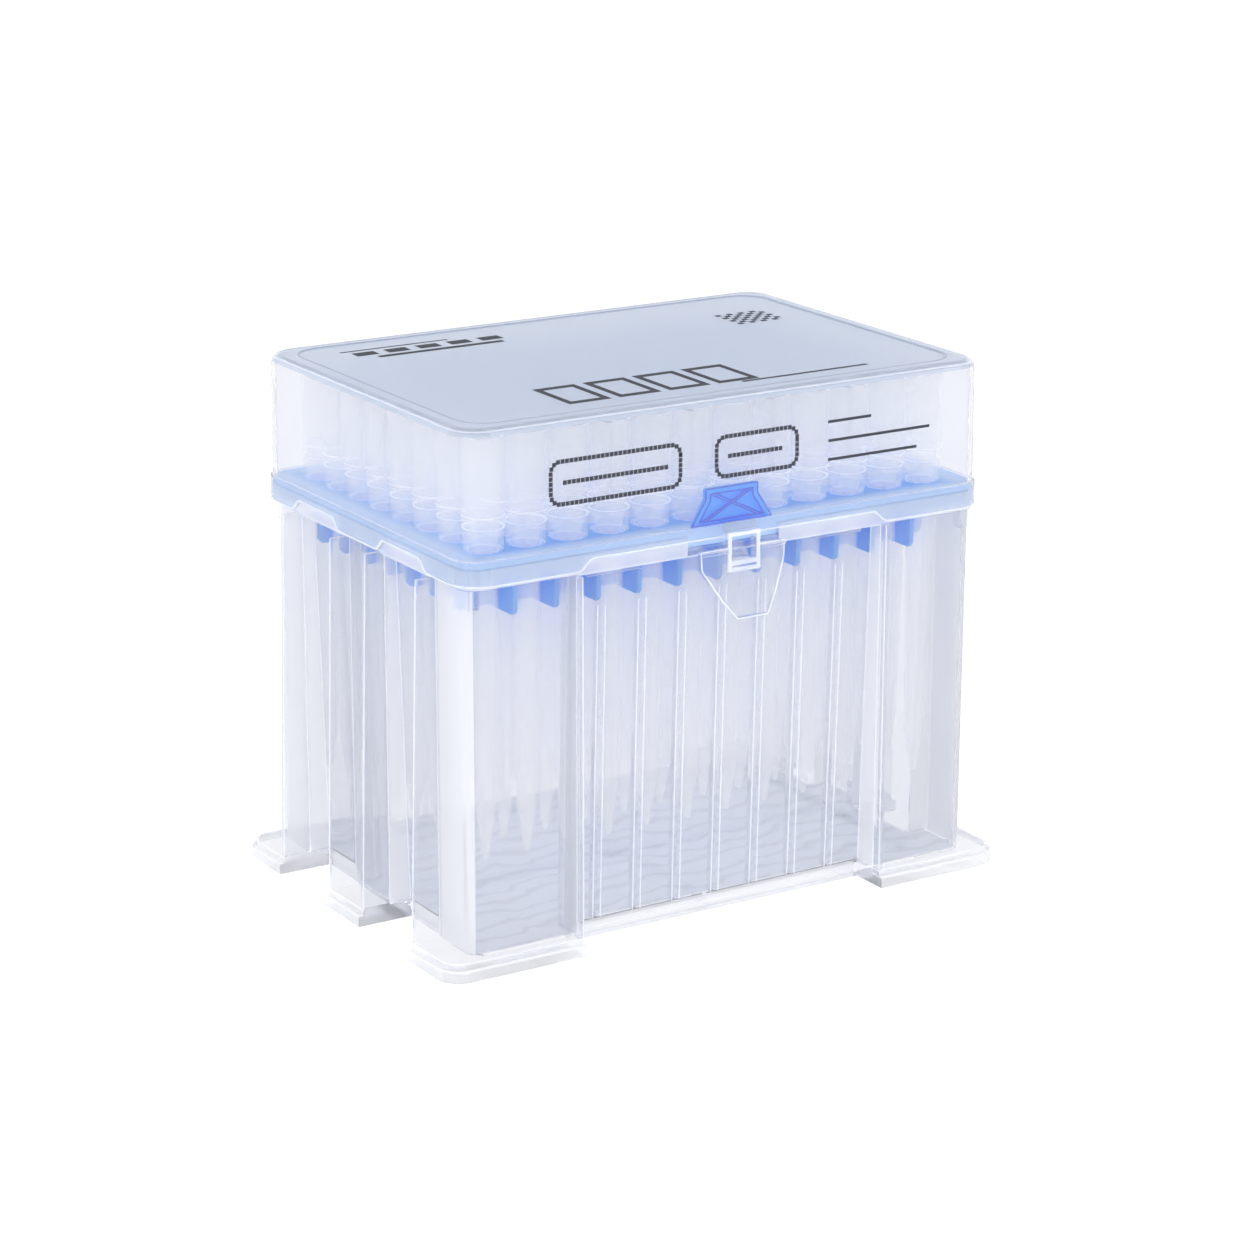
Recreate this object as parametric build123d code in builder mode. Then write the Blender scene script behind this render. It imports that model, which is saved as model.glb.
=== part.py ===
"""Hinged box of 96 pipette tips: base box, tip rack, tips, lid and latch.

Millimetres. The origin is the bottom centre of the base, +X runs along the long side,
the latch is on the -Y side, the hinge on the +Y side, and +Z is up.
"""
import math
import os

from build123d import *

# Base box
BASE_LENGTH = 127.76            # outer length over the feet, the microplate footprint
BASE_WIDTH = 85.48              # outer width over the feet
FOOT_RADIUS = 5.0
FOOT_HEIGHT = 2.1
FOOT_STEP = 1.0                 # the feet step in once by this much
FOOT_STEP_HEIGHT = 1.2
SIDE_LEDGE = 6.9                # from the foot's edge in to the end walls
FRONT_LEDGE = 3.05              # from the foot's edge in to the front and back walls
WALL = 0.9
WALL_RADIUS = 3.8
FLOOR_TOP = 3.4
FLOOR_THICKNESS = 1.4
SHELF_BOTTOM = 74.2             # underside of the rim's shelf, over the recesses
SHELF_THICKNESS = 1.2
RIM_TOP = 78.2
RIM_OUT_X = 0.85                # the rim stands out from the end walls by this much
RIM_OUT_Y = 0.15                # and from the front and back walls
FRONT_PILLAR_X = 34.3           # inner side of the corner pillars, front and back
SIDE_PILLAR_Y = 26.7            # inner side of the corner pillars, ends
MID_PILLAR_Y = 7.0              # half width of the middle pillar of each end
FRONT_RECESS_LOW = 5.35         # depth of the long recesses at the floor
FRONT_RECESS_HIGH = 3.15        # and at the shelf
SIDE_RECESS_LOW = 4.6
SIDE_RECESS_HIGH = 2.5
RIB_THICKNESS = 1.0             # upright ribs inside the recess panels
RIB_DEPTH = 1.2
NOTCH_HALF = 10.3               # gap in the rim behind the latch
PAD_XS = ((-32.2, -20.6), (18.5, 29.6))     # where the rim reaches further down, at the front
PAD_BOTTOM = 73.5
POST_DEPTH = 1.8                # short posts inside the corners, under the rack's wall
POST_WIDTH = 1.6
POST_FROM_SIDE = 1.5            # from the outside of the front or back wall
POST_BOTTOM = 70.2
POST_SLOPE = 0.9                # slanted top of a post
GUSSET = 0.9                    # upright fins that stand on the feet along the pillars' inner edges
GUSSET_TOP_X = 4.1              # how far they stand out under the shelf, at the ends
GUSSET_TOP_Y = 1.9              # and at the front and back

# Rack and tips
PITCH = 9.0
COLUMNS = 12
ROWS = 8
DECK_THICKNESS = 1.2
DECK_CLEARANCE = 0.25           # deck edge to the outside of the rim
RACK_WALL = 1.0
RACK_FIT = 0.2                  # rack wall to the inside of the rim
TOOTH_THICKNESS = 0.9           # webs under the deck, between the rows and between the columns
TOOTH_BOTTOM = 67.0
CROSS_BOTTOM = 67.3             # the lengthwise ones are a little shallower
TOOTH_CORNER = 0.8
WEB_FIT = 0.2                   # web ends to the recess panels
CLIP_WIDTH = 5.0
CLIP_HEIGHT = 1.0
CLIP_X = 24.5
TAB_TOP = 86.4
TAB_TOP_HALF = 5.8
TAB_FOOT_HALF = 9.0
TAB_THICKNESS = 1.0
TAB_RIB = 0.5
TAB_BORDER = 1.0                # width of the tab's border and of its crossed ribs
TAB_SET_BACK = 0.6              # tab's front behind the deck's edge
TAB_HEAD = 2.0                  # upright part of the tab's sides
TIP_LENGTH = 82.1
TIP_COLLAR_R = 3.95
TIP_RING_R = 4.1
TIP_NECK_R = 3.5
TIP_BODY_R = 2.8
TIP_KNEE_R = 1.95
TIP_END_R = 0.65
TIP_SEAL_R = 3.4                # cylindrical band that a pipette's nose fits
TIP_SEAL_LENGTH = 8.0
TIP_MOUTH = 0.8                 # lead-in above the seal band
TIP_SHELL = 0.45
TIP_END_WALL = 0.2
TIP_MOUTH_FLARE = 0.25
NECK_HEIGHT = 4.4
RING_HEIGHT = 2.4
RING_TO_TOP = 15.0              # upper face of the ring to the tip's mouth
KNEE_HEIGHT = 9.0
HOLE_FIT = 0.25                 # deck hole to the tip's body

# Lid
TOTAL_HEIGHT = 104.16
LID_LENGTH = 116.8              # at the top face
LID_WIDTH = 80.32
LID_DRAFT = 0.011               # outward slope of the walls, each side
LID_DRAFT_ANGLE = math.degrees(math.atan(LID_DRAFT))
LID_WALL = 0.9
LID_TOP_THICKNESS = 1.3
LID_RADIUS = 6.0
LID_EDGE_RADIUS = 2.0
LID_PANEL_INSET = 4.0           # the top panel is sunk inside a border
LID_PANEL_DEPTH = 0.25
SKIRT_FIT = 0.25                # skirt to the rim
SKIRT_WALL = 0.9
SKIRT_LOW = 75.1                # skirt's lower edge at the corners
SKIRT_HIGH = 77.4               # and over the recesses
SKIRT_SLANT = 2.3               # length of the slope between the two
SIDE_RAISED_Y = (10.0, 24.4)    # raised stretch of the skirt at the ends
SKIRT_RADIUS = 6.3
LID_GAP = 0.2                   # lid's ledge above the deck
LID_RIB = 0.8                   # thin upright ribs inside the lid's walls, each with a foot under the top
LID_RIB_DEPTH = 0.5
LID_RIB_BOTTOM = 89.0
LID_RIB_FOOT = 4.0
LID_RIB_FOOT_HEIGHT = 1.0

# Lid hinge, at the back
HINGE_Y = 42.5
HINGE_Z = 76.0
HINGE_X = 24.0
PIN_R = 0.8
PIN_FIT = 0.05
KNUCKLE_R = 1.6
KNUCKLE_LENGTH = 8.0
KNUCKLE_SLOT = 1.2              # mouth of the snap-on knuckle, narrower than the pin
EAR_R = 1.15
EAR_THICKNESS = 1.6
EAR_FIT = 0.25
KNUCKLE_WEB = 0.6               # how far the knuckle's web stands out of the skirt at its top

# Latch, at the front
LATCH_Z = 79.4                  # hinge line of the latch
LATCH_BARREL_R = 0.8
LATCH_GAP = 0.15                # hinge barrel to the lid's skirt
LATCH_STAND = 0.1               # back of the plate in front of the hinge line
LATCH_THICKNESS = 1.1
LATCH_HALF = 9.4
LATCH_TOP = 75.5
LATCH_BEND = 71.0
LATCH_BOTTOM = 62.8
LATCH_FLARE = 3.6               # how far the pull end stands out
LATCH_WAIST = (9.2, 1.0)        # half width, and height above the bend, where the sides start to run in
LATCH_ELBOW = (5.8, 3.2)        # half width, and height above the bottom, where they turn down
LATCH_END_HALF = 3.4
LATCH_LIP = (0.6, 0.7)          # thickness and height of the lips along the plate's shoulders
STRAP_HALF = 3.4
STRAP_THICKNESS = 1.4
WINDOW_HALF = 2.4
WINDOW_TOP = 78.2
WINDOW_BOTTOM = 73.2
BAR_HEIGHT = 2.1
BAR_THICKNESS = 2.1
CATCH_HALF = 1.9
CATCH_FIT = 0.15                # catch to the latch's bar

# Worked out from the above
half_x = BASE_LENGTH / 2 - SIDE_LEDGE
half_y = BASE_WIDTH / 2 - FRONT_LEDGE
rim_x = half_x + RIM_OUT_X
rim_y = half_y + RIM_OUT_Y
rim_radius = WALL_RADIUS + RIM_OUT_Y
shelf_top = SHELF_BOTTOM + SHELF_THICKNESS
deck_top = RIM_TOP + DECK_THICKNESS
deck_x = rim_x - DECK_CLEARANCE
deck_y = rim_y - DECK_CLEARANCE
rack_x = rim_x - WALL - RACK_FIT
rack_y = rim_y - WALL - RACK_FIT
skirt_in_x = rim_x + SKIRT_FIT
skirt_in_y = rim_y + SKIRT_FIT
skirt_x = skirt_in_x + SKIRT_WALL
skirt_y = skirt_in_y + SKIRT_WALL
skirt_top = deck_top + LID_GAP
tip_bottom = deck_top + NECK_HEIGHT + RING_HEIGHT + RING_TO_TOP - TIP_LENGTH
tip_top = tip_bottom + TIP_LENGTH
latch_y = -(skirt_y + LATCH_GAP + LATCH_BARREL_R)
latch_back = latch_y - LATCH_STAND
rib_xs = [PITCH * i for i in range(-3, 4)]
web_xs = [PITCH * i for i in range(1 - COLUMNS // 2, COLUMNS // 2)]
cross_ys = [PITCH * i for i in range(1 - ROWS // 2, ROWS // 2)]
hinge_xs = (-HINGE_X, HINGE_X)
clip_xs = (-CLIP_X, CLIP_X)


def recess_depth(low, high, z):
    """Depth of a recess at height z, a straight line from the floor to the shelf."""
    return low + (high - low) * z / SHELF_BOTTOM


def long_recess(side, grow):
    """Recess of the front (side -1) or back (side 1) wall; grow thickens it into its panel."""
    top = SHELF_BOTTOM + grow
    outside = side * (half_y + 10)
    low = side * (half_y - FRONT_RECESS_LOW - grow)
    high = side * (half_y - recess_depth(FRONT_RECESS_LOW, FRONT_RECESS_HIGH, top) - grow)
    with BuildPart(mode=Mode.PRIVATE) as recess:
        with BuildSketch(Plane.YZ):
            with BuildLine():
                Polyline((outside, -1), (low, -1), (high, top), (outside, top), close=True)
            make_face()
        extrude(amount=FRONT_PILLAR_X + grow, both=True)
    return recess.part


def end_recess(side, middle, grow):
    """One of the two recesses of an end wall, centred on y = middle."""
    top = SHELF_BOTTOM + grow
    outside = side * (half_x + 10)
    low = side * (half_x - SIDE_RECESS_LOW - grow)
    high = side * (half_x - recess_depth(SIDE_RECESS_LOW, SIDE_RECESS_HIGH, top) - grow)
    with BuildPart(mode=Mode.PRIVATE) as recess:
        with BuildSketch(Plane.XZ.offset(-middle)):
            with BuildLine():
                Polyline((outside, -1), (low, -1), (high, top), (outside, top), close=True)
            make_face()
        extrude(amount=(SIDE_PILLAR_Y - MID_PILLAR_Y) / 2 + grow, both=True)
    return recess.part


def all_recesses(grow):
    """The six recesses of the base's walls."""
    middle = (SIDE_PILLAR_Y + MID_PILLAR_Y) / 2
    recesses = [long_recess(side, grow) for side in (-1, 1)]
    recesses += [end_recess(side, y, grow) for side in (-1, 1) for y in (-middle, middle)]
    return recesses


def rounded_block(x, y, radius, low, high):
    """Upright block with round vertical corners, half sizes x and y, from z = low to high."""
    with BuildPart(mode=Mode.PRIVATE) as block:
        with BuildSketch(Plane.XY.offset(low)):
            RectangleRounded(2 * x, 2 * y, radius)
        extrude(amount=high - low)
    return block.part


def span(x0, x1, y0, y1, z0, z1):
    """Plain block between two corners."""
    with BuildPart(mode=Mode.PRIVATE) as block:
        with BuildSketch(Plane.XY.offset(min(z0, z1))):
            with Locations(((x0 + x1) / 2, (y0 + y1) / 2)):
                Rectangle(abs(x1 - x0), abs(y1 - y0))
        extrude(amount=abs(z1 - z0))
    return block.part


# Cavity of the base: the inside of its walls, less the recess panels
with BuildPart() as cavity:
    add(rounded_block(half_x - WALL, half_y - WALL, WALL_RADIUS - WALL, FLOOR_TOP, shelf_top))
    for recess in all_recesses(WALL):
        add(recess, mode=Mode.SUBTRACT)

# Base box: feet, walls with recesses, floor, shelf, rim, ribs, catch and hinge ears
with BuildPart() as base_box:
    step_top = FOOT_HEIGHT + FOOT_STEP_HEIGHT
    add(rounded_block(BASE_LENGTH / 2, BASE_WIDTH / 2, FOOT_RADIUS, 0, FOOT_HEIGHT))
    add(rounded_block(BASE_LENGTH / 2 - FOOT_STEP, BASE_WIDTH / 2 - FOOT_STEP,
                      FOOT_RADIUS - FOOT_STEP, FOOT_HEIGHT, step_top))
    add(rounded_block(half_x, half_y, WALL_RADIUS, 0, shelf_top))
    for recess in all_recesses(0):
        add(recess, mode=Mode.SUBTRACT)
    # shelf that closes the recesses at the top, and the rim above it
    add(rounded_block(rim_x, rim_y, rim_radius, SHELF_BOTTOM, RIM_TOP))
    add(rounded_block(rim_x - WALL, rim_y - WALL, rim_radius - WALL, shelf_top, RIM_TOP),
        mode=Mode.SUBTRACT)
    add(cavity.part, mode=Mode.SUBTRACT)
    for start, end in PAD_XS:
        add(span(start, end, -rim_y, -rim_y + WALL, PAD_BOTTOM, shelf_top))
    # short posts in the corners
    for x_side, y_side in ((-1, -1), (-1, 1), (1, -1), (1, 1)):
        post_in = x_side * (half_x - WALL - POST_DEPTH)
        post_out = x_side * (half_x - WALL / 2)
        with BuildSketch(Plane.XZ.offset(-y_side * (half_y - POST_FROM_SIDE - POST_WIDTH))):
            with BuildLine():
                Polyline((post_in, POST_BOTTOM), (post_out, POST_BOTTOM), (post_out, shelf_top),
                         (post_in, shelf_top - POST_SLOPE), close=True)
            make_face()
        extrude(amount=-y_side * POST_WIDTH)
    # fins on the feet, along the inner edges of the corner pillars and both edges of the middle ones
    for side in (-1, 1):
        for edge, out in ((-SIDE_PILLAR_Y, -1), (-MID_PILLAR_Y, 1), (MID_PILLAR_Y, -1), (SIDE_PILLAR_Y, 1)):
            with BuildSketch(Plane.XZ.offset(-edge)):
                with BuildLine():
                    Polyline((side * (half_x - WALL / 2), step_top - FOOT_STEP_HEIGHT / 2),
                             (side * (BASE_LENGTH / 2 - FOOT_STEP), step_top - FOOT_STEP_HEIGHT / 2),
                             (side * (BASE_LENGTH / 2 - FOOT_STEP), step_top),
                             (side * (half_x + GUSSET_TOP_X), SHELF_BOTTOM),
                             (side * (half_x - WALL / 2), SHELF_BOTTOM), close=True)
                make_face()
            extrude(amount=-out * GUSSET)
        for edge in (-FRONT_PILLAR_X, FRONT_PILLAR_X):
            with BuildSketch(Plane.YZ.offset(edge)):
                with BuildLine():
                    Polyline((side * (half_y - WALL / 2), step_top - FOOT_STEP_HEIGHT / 2),
                             (side * (BASE_WIDTH / 2 - FOOT_STEP), step_top - FOOT_STEP_HEIGHT / 2),
                             (side * (BASE_WIDTH / 2 - FOOT_STEP), step_top),
                             (side * (half_y + GUSSET_TOP_Y), SHELF_BOTTOM),
                             (side * (half_y - WALL / 2), SHELF_BOTTOM), close=True)
                make_face()
            extrude(amount=math.copysign(GUSSET, edge))
    # four pockets under the floor, with a cross of webs between them that reaches the ground
    pocket_x = half_x - SIDE_RECESS_LOW - 2 * WALL
    pocket_y = half_y - FRONT_RECESS_LOW - 2 * WALL
    with BuildSketch(Plane.XY):
        with GridLocations(pocket_x, pocket_y, 2, 2):
            Rectangle(pocket_x - WALL, pocket_y - WALL)
    extrude(amount=FLOOR_TOP - FLOOR_THICKNESS, mode=Mode.SUBTRACT)
    # upright ribs inside the long recess panels, in line with the rack's webs
    for side in (-1, 1):
        face_low = half_y - FRONT_RECESS_LOW - WALL
        face_high = half_y - recess_depth(FRONT_RECESS_LOW, FRONT_RECESS_HIGH, TOOTH_BOTTOM) - WALL
        for x in rib_xs:
            with BuildSketch(Plane.YZ.offset(x - RIB_THICKNESS / 2)):
                with BuildLine():
                    Polyline((side * (face_low + WALL / 2), FLOOR_TOP - WALL / 2),
                             (side * (face_high + WALL / 2), TOOTH_BOTTOM - WEB_FIT),
                             (side * (face_high - RIB_DEPTH), TOOTH_BOTTOM - WEB_FIT),
                             (side * (face_low - RIB_DEPTH), FLOOR_TOP - WALL / 2), close=True)
                make_face()
            extrude(amount=RIB_THICKNESS)
    # ribs inside the end recess panels
    for side in (-1, 1):
        face_low = half_x - SIDE_RECESS_LOW - WALL
        face_high = half_x - recess_depth(SIDE_RECESS_LOW, SIDE_RECESS_HIGH, TOOTH_BOTTOM) - WALL
        for y in (-2 * PITCH, 2 * PITCH):
            with BuildSketch(Plane.XZ.offset(-y - RIB_THICKNESS / 2)):
                with BuildLine():
                    Polyline((side * (face_low + WALL / 2), FLOOR_TOP - WALL / 2),
                             (side * (face_high + WALL / 2), TOOTH_BOTTOM - WEB_FIT),
                             (side * (face_high - RIB_DEPTH / 2), TOOTH_BOTTOM - WEB_FIT),
                             (side * (face_low - RIB_DEPTH / 2), FLOOR_TOP - WALL / 2), close=True)
                make_face()
            extrude(amount=RIB_THICKNESS)
    # gap in the rim behind the latch
    add(span(-NOTCH_HALF, NOTCH_HALF, -rim_y - 1, -rim_y + WALL, shelf_top, RIM_TOP), mode=Mode.SUBTRACT)
    # windows in the rim for the rack's clips
    clip_low = (shelf_top + RIM_TOP - CLIP_HEIGHT) / 2
    for side in (-1, 1):
        for x in clip_xs:
            add(span(x - CLIP_WIDTH / 2 - RACK_FIT, x + CLIP_WIDTH / 2 + RACK_FIT,
                     side * (rim_y - WALL - 0.5), side * (rim_y + 0.5),
                     clip_low - RACK_FIT, clip_low + CLIP_HEIGHT + RACK_FIT), mode=Mode.SUBTRACT)
    # catch for the latch's window: a wedge on the shelf's front edge
    catch_front = latch_back + CATCH_FIT
    with BuildSketch(Plane.YZ.offset(-CATCH_HALF)):
        with BuildLine():
            Polyline((-rim_y + WALL, WINDOW_BOTTOM + CATCH_FIT), (catch_front, WINDOW_BOTTOM + CATCH_FIT),
                     (catch_front, SHELF_BOTTOM), (-rim_y, shelf_top), (-rim_y + WALL, shelf_top),
                     close=True)
        make_face()
    extrude(amount=2 * CATCH_HALF)
    # hinge ears and pins
    ear_gap = KNUCKLE_LENGTH / 2 + EAR_FIT
    for x in hinge_xs:
        for start in (x - ear_gap - EAR_THICKNESS, x + ear_gap):
            with BuildSketch(Plane.YZ.offset(start)):
                with Locations((HINGE_Y, HINGE_Z)):
                    Circle(EAR_R)
                with BuildLine():
                    Polyline((rim_y - WALL / 2, SHELF_BOTTOM), (HINGE_Y, HINGE_Z - EAR_R),
                             (HINGE_Y, HINGE_Z + EAR_R), (rim_y - WALL / 2, HINGE_Z + EAR_R), close=True)
                make_face()
            extrude(amount=EAR_THICKNESS)
        with BuildSketch(Plane.YZ.offset(x - ear_gap - EAR_THICKNESS / 2)):
            with Locations((HINGE_Y, HINGE_Z)):
                Circle(PIN_R)
        extrude(amount=2 * ear_gap + EAR_THICKNESS)
base_box.part.label = "base_box"

# Rack: deck with 96 holes, locating wall, webs below, clips, and the upright tab at the front
with BuildPart() as rack_plate:
    add(rounded_block(deck_x, deck_y, rim_radius - DECK_CLEARANCE, RIM_TOP, deck_top))
    add(rounded_block(rack_x, rack_y, rim_radius - WALL, shelf_top + RACK_FIT, RIM_TOP))
    add(rounded_block(rack_x - RACK_WALL, rack_y - RACK_WALL, rim_radius - WALL - RACK_WALL,
                      shelf_top + RACK_FIT, RIM_TOP), mode=Mode.SUBTRACT)
    web_half_y = half_y - recess_depth(FRONT_RECESS_LOW, FRONT_RECESS_HIGH, TOOTH_BOTTOM) - WALL - WEB_FIT
    web_half_x = half_x - recess_depth(SIDE_RECESS_LOW, SIDE_RECESS_HIGH, TOOTH_BOTTOM) - WALL - WEB_FIT
    webs = [(Plane.YZ.offset(x - TOOTH_THICKNESS / 2), web_half_y, TOOTH_BOTTOM) for x in web_xs]
    webs += [(Plane.XZ.offset(-y - TOOTH_THICKNESS / 2), web_half_x, CROSS_BOTTOM) for y in cross_ys]
    for plane, reach, bottom in webs:
        with BuildSketch(plane):
            with BuildLine():
                Polyline((-reach, RIM_TOP), (-reach, bottom + TOOTH_CORNER), (-reach + TOOTH_CORNER, bottom),
                         (reach - TOOTH_CORNER, bottom), (reach, bottom + TOOTH_CORNER), (reach, RIM_TOP),
                         close=True)
            make_face()
        extrude(amount=TOOTH_THICKNESS)
    # the webs are cut back round the recess panels
    for recess in all_recesses(WALL + WEB_FIT):
        add(recess, mode=Mode.SUBTRACT)
    with BuildSketch(Plane.XY.offset(RIM_TOP - 1)):
        with GridLocations(PITCH, PITCH, COLUMNS, ROWS):
            Circle(TIP_BODY_R + HOLE_FIT)
    extrude(amount=DECK_THICKNESS + 1, mode=Mode.SUBTRACT)
    # clips
    for side in (-1, 1):
        for x in clip_xs:
            add(span(x - CLIP_WIDTH / 2, x + CLIP_WIDTH / 2, side * (rack_y - RACK_WALL / 2),
                     side * (rim_y - WALL / 2), clip_low, clip_low + CLIP_HEIGHT))
    # upright tab: splayed plate, thick border and a cross of ribs
    tab_front = -(deck_y - TAB_SET_BACK)
    tab_back = tab_front + TAB_THICKNESS
    tab_foot = deck_top - DECK_THICKNESS / 2
    tab_points = [(-TAB_FOOT_HALF, tab_foot), (TAB_FOOT_HALF, tab_foot), (TAB_TOP_HALF, TAB_TOP - TAB_HEAD),
                  (TAB_TOP_HALF, TAB_TOP), (-TAB_TOP_HALF, TAB_TOP), (-TAB_TOP_HALF, TAB_TOP - TAB_HEAD)]
    with BuildSketch(Plane.XZ.offset(-tab_back)):
        with BuildLine():
            Polyline(*tab_points, close=True)
        make_face()
    extrude(amount=TAB_THICKNESS - TAB_RIB)
    with BuildSketch(Plane.XZ.offset(-tab_back)):
        with BuildLine():
            Polyline(*tab_points, close=True)
        make_face()
        offset(amount=-TAB_BORDER, kind=Kind.INTERSECTION, mode=Mode.SUBTRACT)
        for lean in (-1, 1):
            foot = lean * (TAB_FOOT_HALF * 0.75 - TAB_BORDER / 2)
            head = lean * (TAB_TOP_HALF - 1.5 * TAB_BORDER)
            half = lean * TAB_BORDER / 2
            with BuildLine():
                Polyline((-foot - half, deck_top), (half - foot, deck_top),
                         (head + half, TAB_TOP - TAB_BORDER), (head - half, TAB_TOP - TAB_BORDER), close=True)
            make_face()
    extrude(amount=TAB_THICKNESS)
rack_plate.part.label = "rack_plate"

# One tip, as a half profile turned about its own axis; it hangs by its neck on the deck
ring_low = deck_top + NECK_HEIGHT
ring_high = ring_low + RING_HEIGHT
seal_high = tip_top - TIP_MOUTH
seal_low = seal_high - TIP_SEAL_LENGTH
knee = tip_bottom + KNEE_HEIGHT
with BuildPart(mode=Mode.PRIVATE) as tip:
    with BuildSketch(Plane.XZ):
        with BuildLine():
            Polyline((TIP_END_R - TIP_END_WALL, tip_bottom), (TIP_END_R, tip_bottom),
                     (TIP_KNEE_R, knee), (TIP_BODY_R, deck_top), (TIP_NECK_R, deck_top),
                     (TIP_NECK_R, ring_low), (TIP_RING_R, ring_low), (TIP_RING_R, ring_high),
                     (TIP_COLLAR_R, ring_high), (TIP_COLLAR_R, tip_top),
                     (TIP_SEAL_R + TIP_MOUTH_FLARE, tip_top), (TIP_SEAL_R, seal_high), (TIP_SEAL_R, seal_low),
                     (TIP_NECK_R - TIP_SHELL, ring_low), (TIP_BODY_R - TIP_SHELL, RIM_TOP),
                     (TIP_KNEE_R - TIP_SHELL, knee), close=True)
        make_face()
    revolve(axis=Axis.Z)

# Lid: draughted shell, stepped skirt, sunk top panel and hinge knuckles
lid_rise = TOTAL_HEIGHT - skirt_top
wall_x = LID_LENGTH / 2 + LID_DRAFT * lid_rise
wall_y = LID_WIDTH / 2 + LID_DRAFT * lid_rise


def lid_solid(x, y, radius, low, high):
    """Block that narrows upwards by the lid's draught, half sizes given at the bottom."""
    with BuildPart(mode=Mode.PRIVATE) as block:
        with BuildSketch(Plane.XY.offset(low)):
            RectangleRounded(2 * x, 2 * y, radius)
        extrude(amount=high - low, taper=LID_DRAFT_ANGLE)
    return block.part


with BuildPart() as lid:
    add(lid_solid(wall_x, wall_y, LID_RADIUS, skirt_top, TOTAL_HEIGHT))
    fillet(lid.faces().sort_by(Axis.Z)[-1].edges(), LID_EDGE_RADIUS)
    add(rounded_block(skirt_x, skirt_y, SKIRT_RADIUS, SKIRT_LOW, skirt_top))
    add(rounded_block(skirt_in_x, skirt_in_y, rim_radius + SKIRT_FIT, SKIRT_LOW, skirt_top),
        mode=Mode.SUBTRACT)
    with BuildPart(mode=Mode.PRIVATE) as hollow:
        add(lid_solid(wall_x - LID_WALL, wall_y - LID_WALL, LID_RADIUS - LID_WALL, skirt_top,
                      TOTAL_HEIGHT - LID_TOP_THICKNESS))
        fillet(hollow.faces().sort_by(Axis.Z)[-1].edges(), LID_EDGE_RADIUS / 2)
    add(hollow.part, mode=Mode.SUBTRACT)
    with BuildSketch(Plane.XY.offset(TOTAL_HEIGHT)):
        RectangleRounded(LID_LENGTH - 2 * LID_PANEL_INSET, LID_WIDTH - 2 * LID_PANEL_INSET, LID_RADIUS)
    extrude(amount=-LID_PANEL_DEPTH, mode=Mode.SUBTRACT)
    # the skirt's edge rises over the recesses
    for side in (-1, 1):
        edge_in = side * (skirt_in_y - 1)
        edge_out = side * (skirt_y + 1)
        with BuildSketch(Plane.XZ.offset(-edge_out)):
            with BuildLine():
                Polyline((-FRONT_PILLAR_X, SKIRT_LOW - 1), (FRONT_PILLAR_X, SKIRT_LOW - 1),
                         (FRONT_PILLAR_X, SKIRT_LOW), (FRONT_PILLAR_X - SKIRT_SLANT, SKIRT_HIGH),
                         (SKIRT_SLANT - FRONT_PILLAR_X, SKIRT_HIGH), (-FRONT_PILLAR_X, SKIRT_LOW), close=True)
            make_face()
        extrude(amount=edge_out - edge_in, mode=Mode.SUBTRACT)
    raised_low, raised_high = SIDE_RAISED_Y
    for middle in (-(raised_low + raised_high) / 2, (raised_low + raised_high) / 2):
        reach = (raised_high - raised_low) / 2
        with BuildSketch(Plane.YZ):
            with BuildLine():
                Polyline((middle - reach - SKIRT_SLANT, SKIRT_LOW - 1),
                         (middle + reach + SKIRT_SLANT, SKIRT_LOW - 1),
                         (middle + reach + SKIRT_SLANT, SKIRT_LOW), (middle + reach, SKIRT_HIGH),
                         (middle - reach, SKIRT_HIGH), (middle - reach - SKIRT_SLANT, SKIRT_LOW), close=True)
            make_face()
        extrude(amount=skirt_x + 1, both=True, mode=Mode.SUBTRACT)
    # upright ribs inside the walls, in line with the tips' columns and rows, each with a foot under the top
    under_top = TOTAL_HEIGHT - LID_TOP_THICKNESS
    into_top = under_top + LID_TOP_THICKNESS / 4
    for plane, half, places in ((Plane.YZ, LID_WIDTH / 2, (-3 * PITCH, -PITCH, PITCH, 3 * PITCH)),
                                (Plane.XZ, LID_LENGTH / 2, (-PITCH, 0, PITCH))):
        outer, inner = half - LID_WALL / 2, half - LID_WALL - LID_RIB_DEPTH
        foot, foot_low = half - LID_WALL - LID_RIB_FOOT, under_top - LID_RIB_FOOT_HEIGHT
        for place in places:
            for side in (-1, 1):
                with BuildSketch(plane.offset(place - LID_RIB / 2)):
                    with BuildLine():
                        Polyline((side * outer, LID_RIB_BOTTOM), (side * inner, LID_RIB_BOTTOM),
                                 (side * inner, foot_low), (side * foot, foot_low),
                                 (side * foot, into_top), (side * outer, into_top), close=True)
                    make_face()
                extrude(amount=LID_RIB)
    # snap-on knuckles round the base's pins, each on a web from the skirt
    for x in hinge_xs:
        with BuildSketch(Plane.YZ.offset(x - KNUCKLE_LENGTH / 2)):
            with Locations((HINGE_Y, HINGE_Z)):
                Circle(KNUCKLE_R)
            with BuildLine():
                Polyline((skirt_y - SKIRT_WALL / 2, skirt_top), (skirt_y - SKIRT_WALL / 2, SKIRT_HIGH),
                         (skirt_y, SKIRT_HIGH), (HINGE_Y - KNUCKLE_R, HINGE_Z),
                         (HINGE_Y + KNUCKLE_R, HINGE_Z), (skirt_y + KNUCKLE_WEB, skirt_top), close=True)
            make_face()
            with Locations((HINGE_Y, HINGE_Z)):
                Circle(PIN_R + PIN_FIT, mode=Mode.SUBTRACT)
            with Locations((HINGE_Y, HINGE_Z - KNUCKLE_R)):
                Rectangle(KNUCKLE_SLOT, 2 * KNUCKLE_R, mode=Mode.SUBTRACT)
        extrude(amount=KNUCKLE_LENGTH)
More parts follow.
